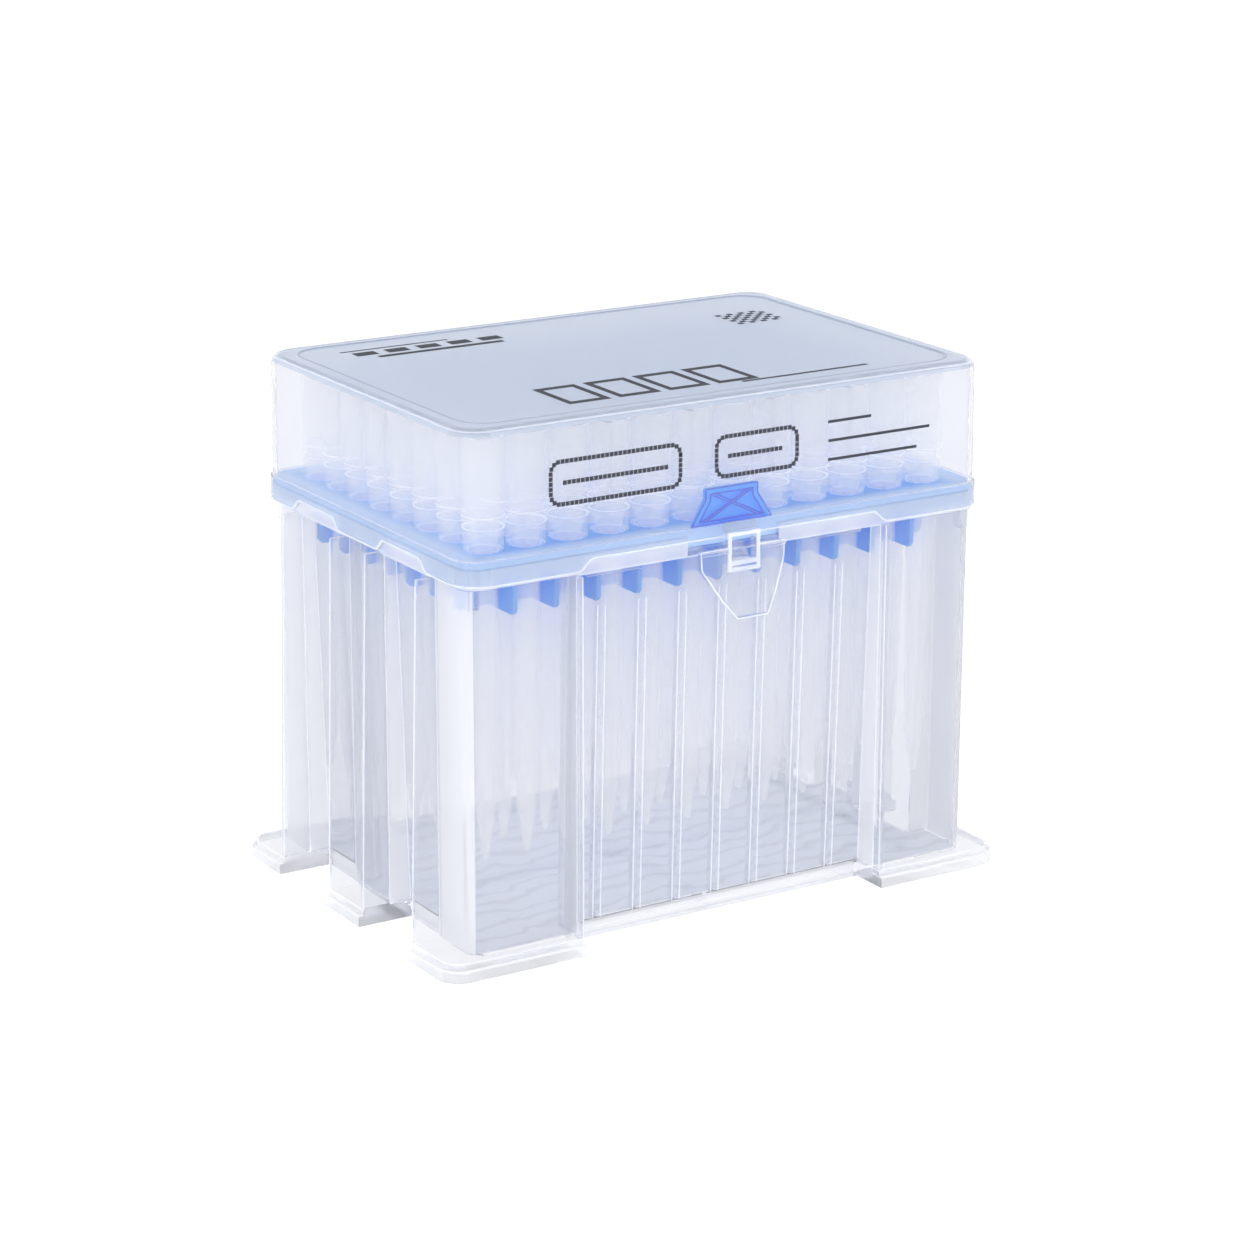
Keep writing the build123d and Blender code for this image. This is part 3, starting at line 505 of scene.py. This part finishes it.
class TipBoxFinish(bpy.types.PropertyGroup):
    """Colours of the box's plastics and print, and of the light and shade painted on them."""
    natural: bpy.props.FloatVectorProperty(
        name="Natural polypropylene", description="Colour of the base box's plastic",
        subtype="COLOR", size=3, min=0, max=1, default=linear("F5F6F9"))
    lid_natural: bpy.props.FloatVectorProperty(
        name="Lid polypropylene", description="Colour of the lid's plastic",
        subtype="COLOR", size=3, min=0, max=1, default=linear("F8F9FC"))
    tip_natural: bpy.props.FloatVectorProperty(
        name="Tip polypropylene", description="Colour of the tips' plastic",
        subtype="COLOR", size=3, min=0, max=1, default=linear("F8F8F9"))
    # painted glow: emission on the tips, standing in for light that reaches a tip through its neighbours
    tip_painted_glow: bpy.props.FloatProperty(
        name="Tip glow", description="Light that reaches a tip through its neighbours",
        default=0.11, min=0, max=0.5)
    # partly painted shade: the grey of the lid's top, darker because less light falls on it
    panel_grey_and_shade: bpy.props.FloatVectorProperty(
        name="Top panel", description="Colour of the frosted panel in the lid's top",
        subtype="COLOR", size=3, min=0, max=1, default=linear("CCD8EB"))
    # this colour also tints the floor's painted glow
    floor_tint: bpy.props.FloatVectorProperty(
        name="Box floor", description="Colour of the box's rippled floor",
        subtype="COLOR", size=3, min=0, max=1, default=linear("E6EAF6"))
    rack_blue: bpy.props.FloatVectorProperty(
        name="Rack blue", description="Colour of the rack's pigment",
        subtype="COLOR", size=3, min=0, max=1, default=linear("3E9BEF"))
    # painted highlight: the pale colour of the lines along the moulded edges
    edge_highlight_white: bpy.props.FloatVectorProperty(
        name="Edges", description="Colour of the moulded edges, where light from inside the walls comes out",
        subtype="COLOR", size=3, min=0, max=1, default=linear("F4F6FF"))
    # painted light: pale blue for the rack's paler edge, the line along the deck's edge and the skirt's pale
    # film
    pale_blue_painted_light: bpy.props.FloatVectorProperty(
        name="Deck edge", description="Colour of the rack's edge seen through the skirt",
        subtype="COLOR", size=3, min=0, max=1, default=linear("BFD9FC"))
    # painted glow: emission on the edge lines, standing in for light led along the walls
    edge_painted_glow: bpy.props.FloatProperty(
        name="Edge glow", description="Light led to the moulded edges inside the walls",
        default=0.25, min=0, max=1)
    # painted shade: grey for the line round the step of the lid's top panel
    step_shade_grey: bpy.props.FloatVectorProperty(
        name="Panel edge", description="Colour of the step round the panel in the lid's top",
        subtype="COLOR", size=3, min=0, max=1, default=linear("B7BECF"))
    # painted light: a deeper lit copy of the rack's blue, used on the tab above the deck
    tab_lit_blue: bpy.props.FloatVectorProperty(
        name="Tab", description="Colour of the rack's upright tab, which stands in the light",
        subtype="COLOR", size=3, min=0, max=1, default=linear("2BA4FF"))
    # painted shade: dark blue for the hollows beside the tab's ribs
    rib_shade_blue: bpy.props.FloatVectorProperty(
        name="Tab ribs", description="Colour of the hollows beside the ribs of the rack's tab",
        subtype="COLOR", size=3, min=0, max=1, default=linear("0F5FE6"))
    ink: bpy.props.FloatVectorProperty(
        name="Ink", description="Colour of the printed marks",
        subtype="COLOR", size=3, min=0, max=1, default=linear("40434E"))


class TipBoxTips(bpy.types.PropertyGroup):
    """Sizes of one tip that the frame's solids leave plain."""
    fin_count: bpy.props.IntProperty(
        name="Fins", description="Upright fins round the neck under the ring", default=12, min=0, max=16)
    fin_height: bpy.props.FloatProperty(
        name="Fin height", description="How far a fin stands out of the neck", default=0.25 * MM,
        subtype="DISTANCE", unit="LENGTH", min=0, max=0.4 * MM)
    lean: bpy.props.FloatProperty(
        name="Lean", description="How far a tip may lean in its hole", subtype="ANGLE",
        unit="ROTATION", default=math.radians(0.45), min=0, max=math.radians(1))


class TipBoxStage(bpy.types.PropertyGroup):
    """Camera, light and floor."""
    focal_length: bpy.props.FloatProperty(
        name="Focal length", description="Lens of the camera, in millimetres on a 36 mm sensor",
        default=104.154, min=20)
    camera_place: bpy.props.FloatVectorProperty(
        name="Camera place", description="Where the camera stands", subtype="TRANSLATION", unit="LENGTH",
        size=3, default=(-0.365294, -0.586446, 0.257291))
    azimuth: bpy.props.FloatProperty(
        name="Azimuth", description="Turn of the camera round the box, from the latch's side",
        subtype="ANGLE", unit="ROTATION", default=math.radians(-31.976))
    elevation: bpy.props.FloatProperty(
        name="Elevation", description="How far the camera looks down", subtype="ANGLE", unit="ROTATION",
        default=math.radians(16.775))
    roll: bpy.props.FloatProperty(
        name="Roll", description="Turn of the camera about its own axis", subtype="ANGLE", unit="ROTATION",
        default=math.radians(-0.138))
    horizon: bpy.props.FloatProperty(
        name="Horizon", description="Strength of the white surroundings level with the box",
        default=1.15, min=0)
    zenith: bpy.props.FloatProperty(
        name="Zenith", description="Strength of the white surroundings overhead", default=0.8, min=0)
    table_light: bpy.props.FloatProperty(
        name="Table light", description="Strength of the light that comes up through the white table",
        default=1.0, min=0)
    floor_white: bpy.props.FloatVectorProperty(
        name="Floor", description="Colour of the floor", subtype="COLOR", size=3, min=0, max=1,
        default=linear("FBFBFD"))


# ---------------------------------------------------------------- materials

def frosted_polypropylene(name, colour, roughness, clear, sheen):
    """Natural polypropylene, injection moulded with a fine spark-eroded texture.

    It lets most light through but scatters it, so that what is close behind shows and what is far fades."""
    material, tree, output = new_material(name)
    place = node(tree, "ShaderNodeTexCoord").outputs["Object"]
    grain = node(tree, "ShaderNodeTexNoise", inputs={"Vector": place, "Scale": 1 / (0.6 * MM), "Detail": 2.0})
    bump = node(tree, "ShaderNodeBump", inputs={
        "Height": grain.outputs["Fac"], "Strength": 0.05, "Distance": 0.05 * MM})
    shader = node(tree, "ShaderNodeBsdfPrincipled", inputs={
        "Base Color": rgba(colour), "Roughness": roughness, "IOR": 1.08, "Transmission Weight": clear,
        "Sheen Weight": sheen, "Sheen Roughness": 0.4, "Normal": bump.outputs["Normal"]})
    tree.links.new(shader.outputs[0], output.inputs["Surface"])
    return material


def blue_polypropylene(colour, pale, deep):
    """Pigmented polypropylene, moulded: satin blue with painted light, paler at the edge where light comes
    in, a deeper lit copy on top, and a faint painted glow.

    The pale colour's share rises as max(|x| / half_x, |y| / half_y) goes from 0.87 to 0.96, below the deck's
    upper face; above it, on the tab, the deep colour is used."""
    half_x, half_y, deck = 57.6 * MM, 39.6 * MM, (79.45 * MM, 79.5 * MM)
    material, tree, output = new_material("blue polypropylene, moulded, painted light")
    place = node(tree, "ShaderNodeTexCoord").outputs["Object"]
    grain = node(tree, "ShaderNodeTexNoise", inputs={"Vector": place, "Scale": 1 / (0.8 * MM), "Detail": 2.0})
    bump = node(tree, "ShaderNodeBump", inputs={
        "Height": grain.outputs["Fac"], "Strength": 0.08, "Distance": 0.05 * MM})
    sizes = node(tree, "ShaderNodeVectorMath", {"operation": "ABSOLUTE"}, {"Vector": place}).outputs["Vector"]
    parts = node(tree, "ShaderNodeSeparateXYZ", inputs={"Vector": sizes})
    along = node(tree, "ShaderNodeMath", {"operation": "DIVIDE"}, {0: parts.outputs["X"], 1: half_x})
    across = node(tree, "ShaderNodeMath", {"operation": "DIVIDE"}, {0: parts.outputs["Y"], 1: half_y})
    nearer = node(tree, "ShaderNodeMath", {"operation": "MAXIMUM"},
                  {0: along.outputs[0], 1: across.outputs[0]})
    # painted light: share of the pale colour, rising towards the rack's edge
    edge = node(tree, "ShaderNodeMapRange", inputs={
        "Value": nearer.outputs[0], "From Min": 0.87, "From Max": 0.96,
        "To Min": 0.0, "To Max": 1.0}).outputs[0]
    # the tab above the deck gets the deeper lit copy of the blue
    under = node(tree, "ShaderNodeMapRange", inputs={
        "Value": parts.outputs["Z"], "From Min": deck[0], "From Max": deck[1],
        "To Min": 1.0, "To Max": 0.0}).outputs[0]
    share = node(tree, "ShaderNodeMath", {"operation": "MULTIPLY"}, {0: edge, 1: under}).outputs[0]
    plain = node(tree, "ShaderNodeMix", {"data_type": "RGBA"}, {0: under, 6: rgba(deep), 7: rgba(colour)})
    tint = node(tree, "ShaderNodeMix", {"data_type": "RGBA"}, {0: share, 6: plain.outputs[2], 7: rgba(pale)})
    tint = tint.outputs[2]
    # painted glow: emission in the blue's own tint
    shader = node(tree, "ShaderNodeBsdfPrincipled", inputs={
        "Base Color": tint, "Roughness": 0.45, "IOR": 1.49, "Emission Color": tint,
        "Emission Strength": 0.12, "Normal": bump.outputs["Normal"]})
    tree.links.new(shader.outputs[0], output.inputs["Surface"])
    return material


def tip_polypropylene(colour, glow):
    """Virgin polypropylene, polished mould: milky, thin and a little glossy, with a painted glow that stands
    in for light reaching a tip through its neighbours.
    """
    material, tree, output = new_material("tip polypropylene, polished mould, painted glow")
    shader = node(tree, "ShaderNodeBsdfPrincipled", inputs={
        "Base Color": rgba(colour), "Roughness": 0.3, "IOR": 1.49, "Alpha": 0.25,
        "Emission Color": rgba(colour), "Emission Strength": glow})
    tree.links.new(shader.outputs[0], output.inputs["Surface"])
    return material


def moulded_edge(name, colour, glow, alpha):
    """Edge of a moulding, as a thin line whose colour is painted light: pale lines are painted highlights and
    dark ones painted shade; glow is a painted glow, emission standing in for the light that is led along the
    wall and leaves it here.
    """
    material, tree, output = new_material(name)
    shader = node(tree, "ShaderNodeBsdfPrincipled", inputs={
        "Base Color": rgba(colour), "Roughness": 0.3, "Alpha": alpha,
        "Emission Color": rgba(colour), "Emission Strength": glow})
    tree.links.new(shader.outputs[0], output.inputs["Surface"])
    return material


def etched_panel(colour):
    """Top of the lid, etched in the mould: a grey sheet, partly the etching's own frost and partly painted
    shade of the lid's top, with no mirror of the room in it.
    """
    material, tree, output = new_material("lid top, etched, painted shade")
    shader = node(tree, "ShaderNodeBsdfPrincipled", inputs={
        "Base Color": rgba(colour), "Roughness": 0.7, "Specular IOR Level": 0.1, "Alpha": 0.6})
    tree.links.new(shader.outputs[0], output.inputs["Surface"])
    return material


def painted_light_face(name, colour, alpha, glow):
    """Face of thick or doubled plastic, as a pale sheet of painted light that stands in for the light it
    scatters; glow is a painted glow, standing in for light led to it.
    """
    material, tree, output = new_material(name)
    shader = node(tree, "ShaderNodeBsdfPrincipled", inputs={
        "Base Color": rgba(colour), "Roughness": 0.6, "Specular IOR Level": 0.1, "Alpha": alpha,
        "Emission Color": rgba(colour), "Emission Strength": glow})
    tree.links.new(shader.outputs[0], output.inputs["Surface"])
    return material


def rippled_floor(colour):
    """Floor of the box: the flow of the melt left low ripples; their darker streaks are painted shade, and
    the floor has a faint painted glow.
    """
    material, tree, output = new_material("box floor, rippled, painted streak shade and glow")
    place = node(tree, "ShaderNodeTexCoord").outputs["Object"]
    streaks = node(tree, "ShaderNodeTexWave", {"bands_direction": "Y"}, {
        "Vector": place, "Scale": 1 / (18 * MM), "Distortion": 7.0, "Detail": 2.0, "Detail Scale": 2.0})
    # painted shade: the streaks darken the floor's colour down to 0.8
    streak_shade = node(tree, "ShaderNodeMapRange", inputs={
        "Value": streaks.outputs["Fac"], "From Min": 0.0, "From Max": 0.35,
        "To Min": 0.8, "To Max": 1.0}).outputs[0]
    tint = node(tree, "ShaderNodeVectorMath", {"operation": "SCALE"},
                {"Vector": tuple(colour), "Scale": streak_shade})
    # painted glow: faint emission in the streaked colour
    shader = node(tree, "ShaderNodeBsdfPrincipled", inputs={
        "Base Color": tint.outputs["Vector"], "Roughness": 0.5, "Alpha": 0.6,
        "Emission Color": tint.outputs["Vector"], "Emission Strength": 0.06})
    tree.links.new(shader.outputs[0], output.inputs["Surface"])
    return material


def printing_ink(colour):
    """Pad-printed solvent ink: dark, thin and matt."""
    material, tree, output = new_material("printing ink, matt")
    shader = node(tree, "ShaderNodeBsdfPrincipled", inputs={"Base Color": rgba(colour), "Roughness": 0.8})
    tree.links.new(shader.outputs[0], output.inputs["Surface"])
    return material


# ---------------------------------------------------------------- operators

class TIPBOX_OT_base(bpy.types.Operator):
    """Finish of the base box"""
    bl_idname = "tipbox.base"
    bl_label = "Base box"

    def execute(self, context):
        look = context.scene.tipbox_finish
        dress(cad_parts["base_box"], frosted_polypropylene(
            "natural polypropylene, frosted", look.natural, roughness=0.1, clear=0.9, sheen=0.5))
        points, faces = floor_surface()
        floor = mesh_object("box_floor", points, faces)
        dress(floor, rippled_floor(look.floor_tint))
        # painted light: a pale glowing sheet on the floor slab's outer faces
        rims = mesh_object("floor_rims", *floor_rims(), smooth=False)
        dress(rims, painted_light_face("floor slab, cut edge, painted light", look.natural, alpha=0.6, glow=0.1))
        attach(rims, "base")
        # painted light: pale glowing sheets on the pillars, the feet, the recesses' sides and the rim
        edge_on_painted_light = painted_light_face("wall seen edge-on, painted light", look.natural, alpha=0.5, glow=0.15)
        corners = np.roll(rounded_outline(RIM_X, RIM_Y, RIM_RADIUS), 8, axis=0)
        around = np.vstack([[(NOTCH_HALF, -RIM_Y)], corners, [(-NOTCH_HALF, -RIM_Y)]])
        rim = upright([(around, RIM_LOW, RIM_HIGH)])
        for name, (points, faces) in (("pillar_faces", pillar_faces()), ("recess_sides", recess_sides()),
                                      ("rim_face", rim)):
            piece = mesh_object(name, points, faces, smooth=False)
            dress(piece, edge_on_painted_light)
            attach(piece, "base")
        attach(floor, "base")
        # painted highlight: pale glowing lines along the base's moulded edges
        edges = mesh_object("base_edges", *beads(base_edges(), 0.15))
        dress(edges, moulded_edge("base edge, painted highlight", look.edge_highlight_white, look.edge_painted_glow, alpha=0.35))
        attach(edges, "base")
        return {"FINISHED"}


class TIPBOX_OT_rack(bpy.types.Operator):
    """Finish of the blue rack"""
    bl_idname = "tipbox.rack"
    bl_label = "Rack"

    def execute(self, context):
        look = context.scene.tipbox_finish
        dress(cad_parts["rack_plate"],
              blue_polypropylene(look.rack_blue, pale=look.pale_blue_painted_light, deep=look.tab_lit_blue))
        # painted highlight: a pale blue glowing line along the rack's edge
        deck = mesh_object("deck_edge", *beads([ring_line(57.58, 39.59, 3.7, 79.4)], 0.22))
        dress(deck, moulded_edge("rack edge, painted highlight", look.pale_blue_painted_light, look.edge_painted_glow, alpha=0.9))
        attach(deck, "base")
        # painted shade: dark lines beside the tab's ribs, with a faint painted glow
        tab = mesh_object("tab_edges", *beads(tab_edges(), 0.17))
        dress(tab, moulded_edge("tab rib, painted shade in the hollow beside it", look.rib_shade_blue, glow=0.1, alpha=0.7))
        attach(tab, "base")
        return {"FINISHED"}


class TIPBOX_OT_tips(bpy.types.Operator):
    """Finish of the tips"""
    bl_idname = "tipbox.tips"
    bl_label = "Tips"

    def execute(self, context):
        sizes = context.scene.tipbox_tips
        look = context.scene.tipbox_finish
        material = tip_polypropylene(look.tip_natural, look.tip_painted_glow)
        chance = np.random.default_rng(96)
        # the shoulder faces are thicker, more opaque plastic, with a painted highlight colour and a painted
        # glow
        shoulder = moulded_edge("tip shoulder, thick, painted glow", look.edge_highlight_white, look.edge_painted_glow, alpha=0.7)
        points, faces, thick = tip_surface(sizes.fin_count, sizes.fin_height)
        for number, name in enumerate(COLUMNS):
            low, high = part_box(name)
            middle = (low[0] + high[0]) / 2
            lean = 0 if number == 0 else sizes.lean
            places = [(middle, PITCH * (row - (ROWS - 1) / 2), 0) for row in range(ROWS)]
            column = [leaning(points, chance.uniform(-lean, lean, 2)) + place for place in places]
            steps = np.arange(ROWS)[:, None, None] * len(points)
            tips = mesh_object(f"tips_{number + 1:02d}", np.concatenate(column),
                               (faces[None] + steps).reshape(-1, 4))
            dress(tips, material)
            tips.data.materials.append(shoulder)
            tips.data.polygons.foreach_set("material_index", np.tile(thick, ROWS))
            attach(tips, "base")
            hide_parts(name)
        return {"FINISHED"}


class TIPBOX_OT_lid(bpy.types.Operator):
    """Finish of the lid"""
    bl_idname = "tipbox.lid"
    bl_label = "Lid"

    def execute(self, context):
        look = context.scene.tipbox_finish
        dress(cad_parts["lid"], frosted_polypropylene(
            "lid polypropylene, satin", look.lid_natural, roughness=0.1, clear=0.91, sheen=0.5))
        # the panel and border are a grey sheet: the etching's own frost and painted shade of the lid's top
        outline = rounded_outline(TOP_HALF_X - PANEL_INSET, TOP_HALF_Y - PANEL_INSET, 6.0 * MM)
        height = np.full((len(outline), 1), LID_HIGH[2] - PANEL_DEPTH + 0.03 * MM)
        panel = mesh_object("lid_panel", np.hstack([outline, height]), np.arange(len(outline))[None],
                            smooth=False)
        dress(panel, etched_panel(look.panel_grey_and_shade))
        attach(panel, "lid")
        border = mesh_object("lid_border", *lid_border())
        dress(border, etched_panel(look.panel_grey_and_shade))
        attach(border, "lid")
        # painted light: a pale blue sheet over the lid's skirt, a painted veil
        film = mesh_object("skirt_film", *skirt_film())
        dress(film, painted_light_face("lid skirt, painted pale veil", look.pale_blue_painted_light, alpha=0.3, glow=0.0))
        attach(film, "lid")
        # painted shade: a grey line round the panel's step
        ring = ring_line(54.6, 36.35, 6.1, LID_HIGH[2] / MM - 0.05)
        step = mesh_object("panel_edge", *beads([ring], 0.14))
        dress(step, moulded_edge("panel edge, stepped, painted shade", look.step_shade_grey, glow=0.0, alpha=0.7))
        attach(step, "lid")
        # painted highlight: pale glowing lines along the lid's skirt and ledge
        edges = mesh_object("lid_edges", *beads(lid_edges(), 0.2))
        dress(edges, moulded_edge("lid edge, painted highlight", look.edge_highlight_white, look.edge_painted_glow, alpha=0.35))
        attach(edges, "lid")
        ink = printing_ink(look.ink)
        for name, (points, faces) in (("front_print", front_print()), ("top_print", top_print())):
            print_marks = mesh_object(name, points, faces, smooth=False)
            dress(print_marks, ink)
            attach(print_marks, "lid")
        return {"FINISHED"}


class TIPBOX_OT_latch(bpy.types.Operator):
    """Finish of the latch"""
    bl_idname = "tipbox.latch"
    bl_label = "Latch"

    def execute(self, context):
        look = context.scene.tipbox_finish
        dress(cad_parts["latch"], frosted_polypropylene(
            "latch polypropylene, polished", look.natural, roughness=0.08, clear=0.9, sheen=0.5))
        # painted highlight: pale glowing lines on the latch's outline and the bars of its strap
        material = moulded_edge("latch edge, painted highlight", look.edge_highlight_white, look.edge_painted_glow, alpha=0.45)
        for name, lines, radius in zip(("latch_edges", "latch_bars"), latch_edges(), (0.14, 0.4)):
            edges = mesh_object(name, *beads(lines, radius))
            dress(edges, material)
            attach(edges, "latch")
        return {"FINISHED"}


class TIPBOX_OT_stage(bpy.types.Operator):
    """Floor, light and camera"""
    bl_idname = "tipbox.stage"
    bl_label = "Stage"

    def execute(self, context):
        stage = context.scene.tipbox_stage
        material, tree, output = new_material("light table, matt white acrylic")
        shader = node(tree, "ShaderNodeBsdfPrincipled", inputs={
            "Base Color": (0.12, 0.12, 0.12, 1), "Roughness": 0.9, "Specular IOR Level": 0.0,
            "Emission Color": rgba(stage.floor_white), "Emission Strength": stage.table_light})
        tree.links.new(shader.outputs[0], output.inputs["Surface"])
        reach, below = 6.0, 0.1 * MM     # the floor lies just under the feet
        corners = np.array([(-reach, -reach, 0), (reach, -reach, 0), (reach, reach, 0), (-reach, reach, 0)])
        floor = mesh_object("floor", corners - (0, 0, below), np.array([[0, 1, 2, 3]]), smooth=False)
        dress(floor, material)
        world = bpy.data.worlds.new("white surroundings")
        world.use_nodes = True
        tree = world.node_tree
        tree.nodes.clear()
        way = node(tree, "ShaderNodeTexCoord").outputs["Generated"]
        rise = node(tree, "ShaderNodeSeparateXYZ", inputs={"Vector": way}).outputs["Z"]
        level = node(tree, "ShaderNodeMapRange", inputs={
            "Value": rise, "From Min": 0.0, "From Max": 1.0,
            "To Min": stage.horizon, "To Max": stage.zenith}).outputs[0]
        sky = node(tree, "ShaderNodeBackground", inputs={"Color": (1, 1, 1, 1), "Strength": level})
        node(tree, "ShaderNodeOutputWorld", inputs={"Surface": sky.outputs[0]})
        context.scene.world = world
        for name, place, size, power in STAGE_LIGHTS:
            light = bpy.data.lights.new(name, "AREA")
            light.size = size
            light.energy = power
            lamp = bpy.data.objects.new(name, light)
            lamp.location = place
            aim = Vector((0, 0, 0.05)) - Vector(place)
            lamp.rotation_euler = aim.to_track_quat("-Z", "Y").to_euler()
            context.scene.collection.objects.link(lamp)
        back = Vector((math.sin(stage.azimuth) * math.cos(stage.elevation),
                       -math.cos(stage.azimuth) * math.cos(stage.elevation), math.sin(stage.elevation)))
        right = Vector((0, 0, 1)).cross(back).normalized()
        up = back.cross(right)
        turn = Matrix.Rotation(-stage.roll, 3, "Z")
        axes = Matrix((right, up, back)).transposed() @ turn
        lens = bpy.data.cameras.new("camera")
        lens.lens = stage.focal_length
        lens.sensor_width = 36
        lens.clip_start = 0.01
        camera = bpy.data.objects.new("camera", lens)
        camera.matrix_world = Matrix.Translation(Vector(stage.camera_place)) @ axes.to_4x4()
        context.scene.collection.objects.link(camera)
        context.scene.camera = camera
        context.scene.view_settings.view_transform = "Standard"
        # light passes many thin clear walls, so its paths are long
        context.scene.cycles.adaptive_threshold = 0.05
        context.scene.cycles.transparent_max_bounces = 48
        context.scene.cycles.max_bounces = 24
        context.scene.cycles.diffuse_bounces = 10
        context.scene.cycles.glossy_bounces = 16
        context.scene.cycles.transmission_bounces = 18
        return {"FINISHED"}


class TIPBOX_PT_panel(bpy.types.Panel):
    """The box's pieces, one button each"""
    bl_label = "Tip box"
    bl_idname = "TIPBOX_PT_panel"
    bl_space_type = "VIEW_3D"
    bl_region_type = "UI"
    bl_category = "Tip box"

    def draw(self, context):
        for operator in OPERATORS:
            self.layout.operator(operator.bl_idname)


OPERATORS = (TIPBOX_OT_base, TIPBOX_OT_rack, TIPBOX_OT_tips, TIPBOX_OT_lid, TIPBOX_OT_latch, TIPBOX_OT_stage)
SETTINGS = (TipBoxFinish, TipBoxTips, TipBoxStage)


def register():
    for kind in SETTINGS + OPERATORS + (TIPBOX_PT_panel,):
        bpy.utils.register_class(kind)
    bpy.types.Scene.tipbox_finish = bpy.props.PointerProperty(type=TipBoxFinish)
    bpy.types.Scene.tipbox_tips = bpy.props.PointerProperty(type=TipBoxTips)
    bpy.types.Scene.tipbox_stage = bpy.props.PointerProperty(type=TipBoxStage)


def unregister():
    del bpy.types.Scene.tipbox_stage
    del bpy.types.Scene.tipbox_tips
    del bpy.types.Scene.tipbox_finish
    for kind in reversed(SETTINGS + OPERATORS + (TIPBOX_PT_panel,)):
        bpy.utils.unregister_class(kind)


def main():
    """Registers the add-on and makes every piece in order."""
    register()
    bpy.ops.tipbox.stage()
    bpy.ops.tipbox.base()
    bpy.ops.tipbox.rack()
    bpy.ops.tipbox.tips()
    bpy.ops.tipbox.lid()
    bpy.ops.tipbox.latch()


if __name__ == "__main__":
    main()
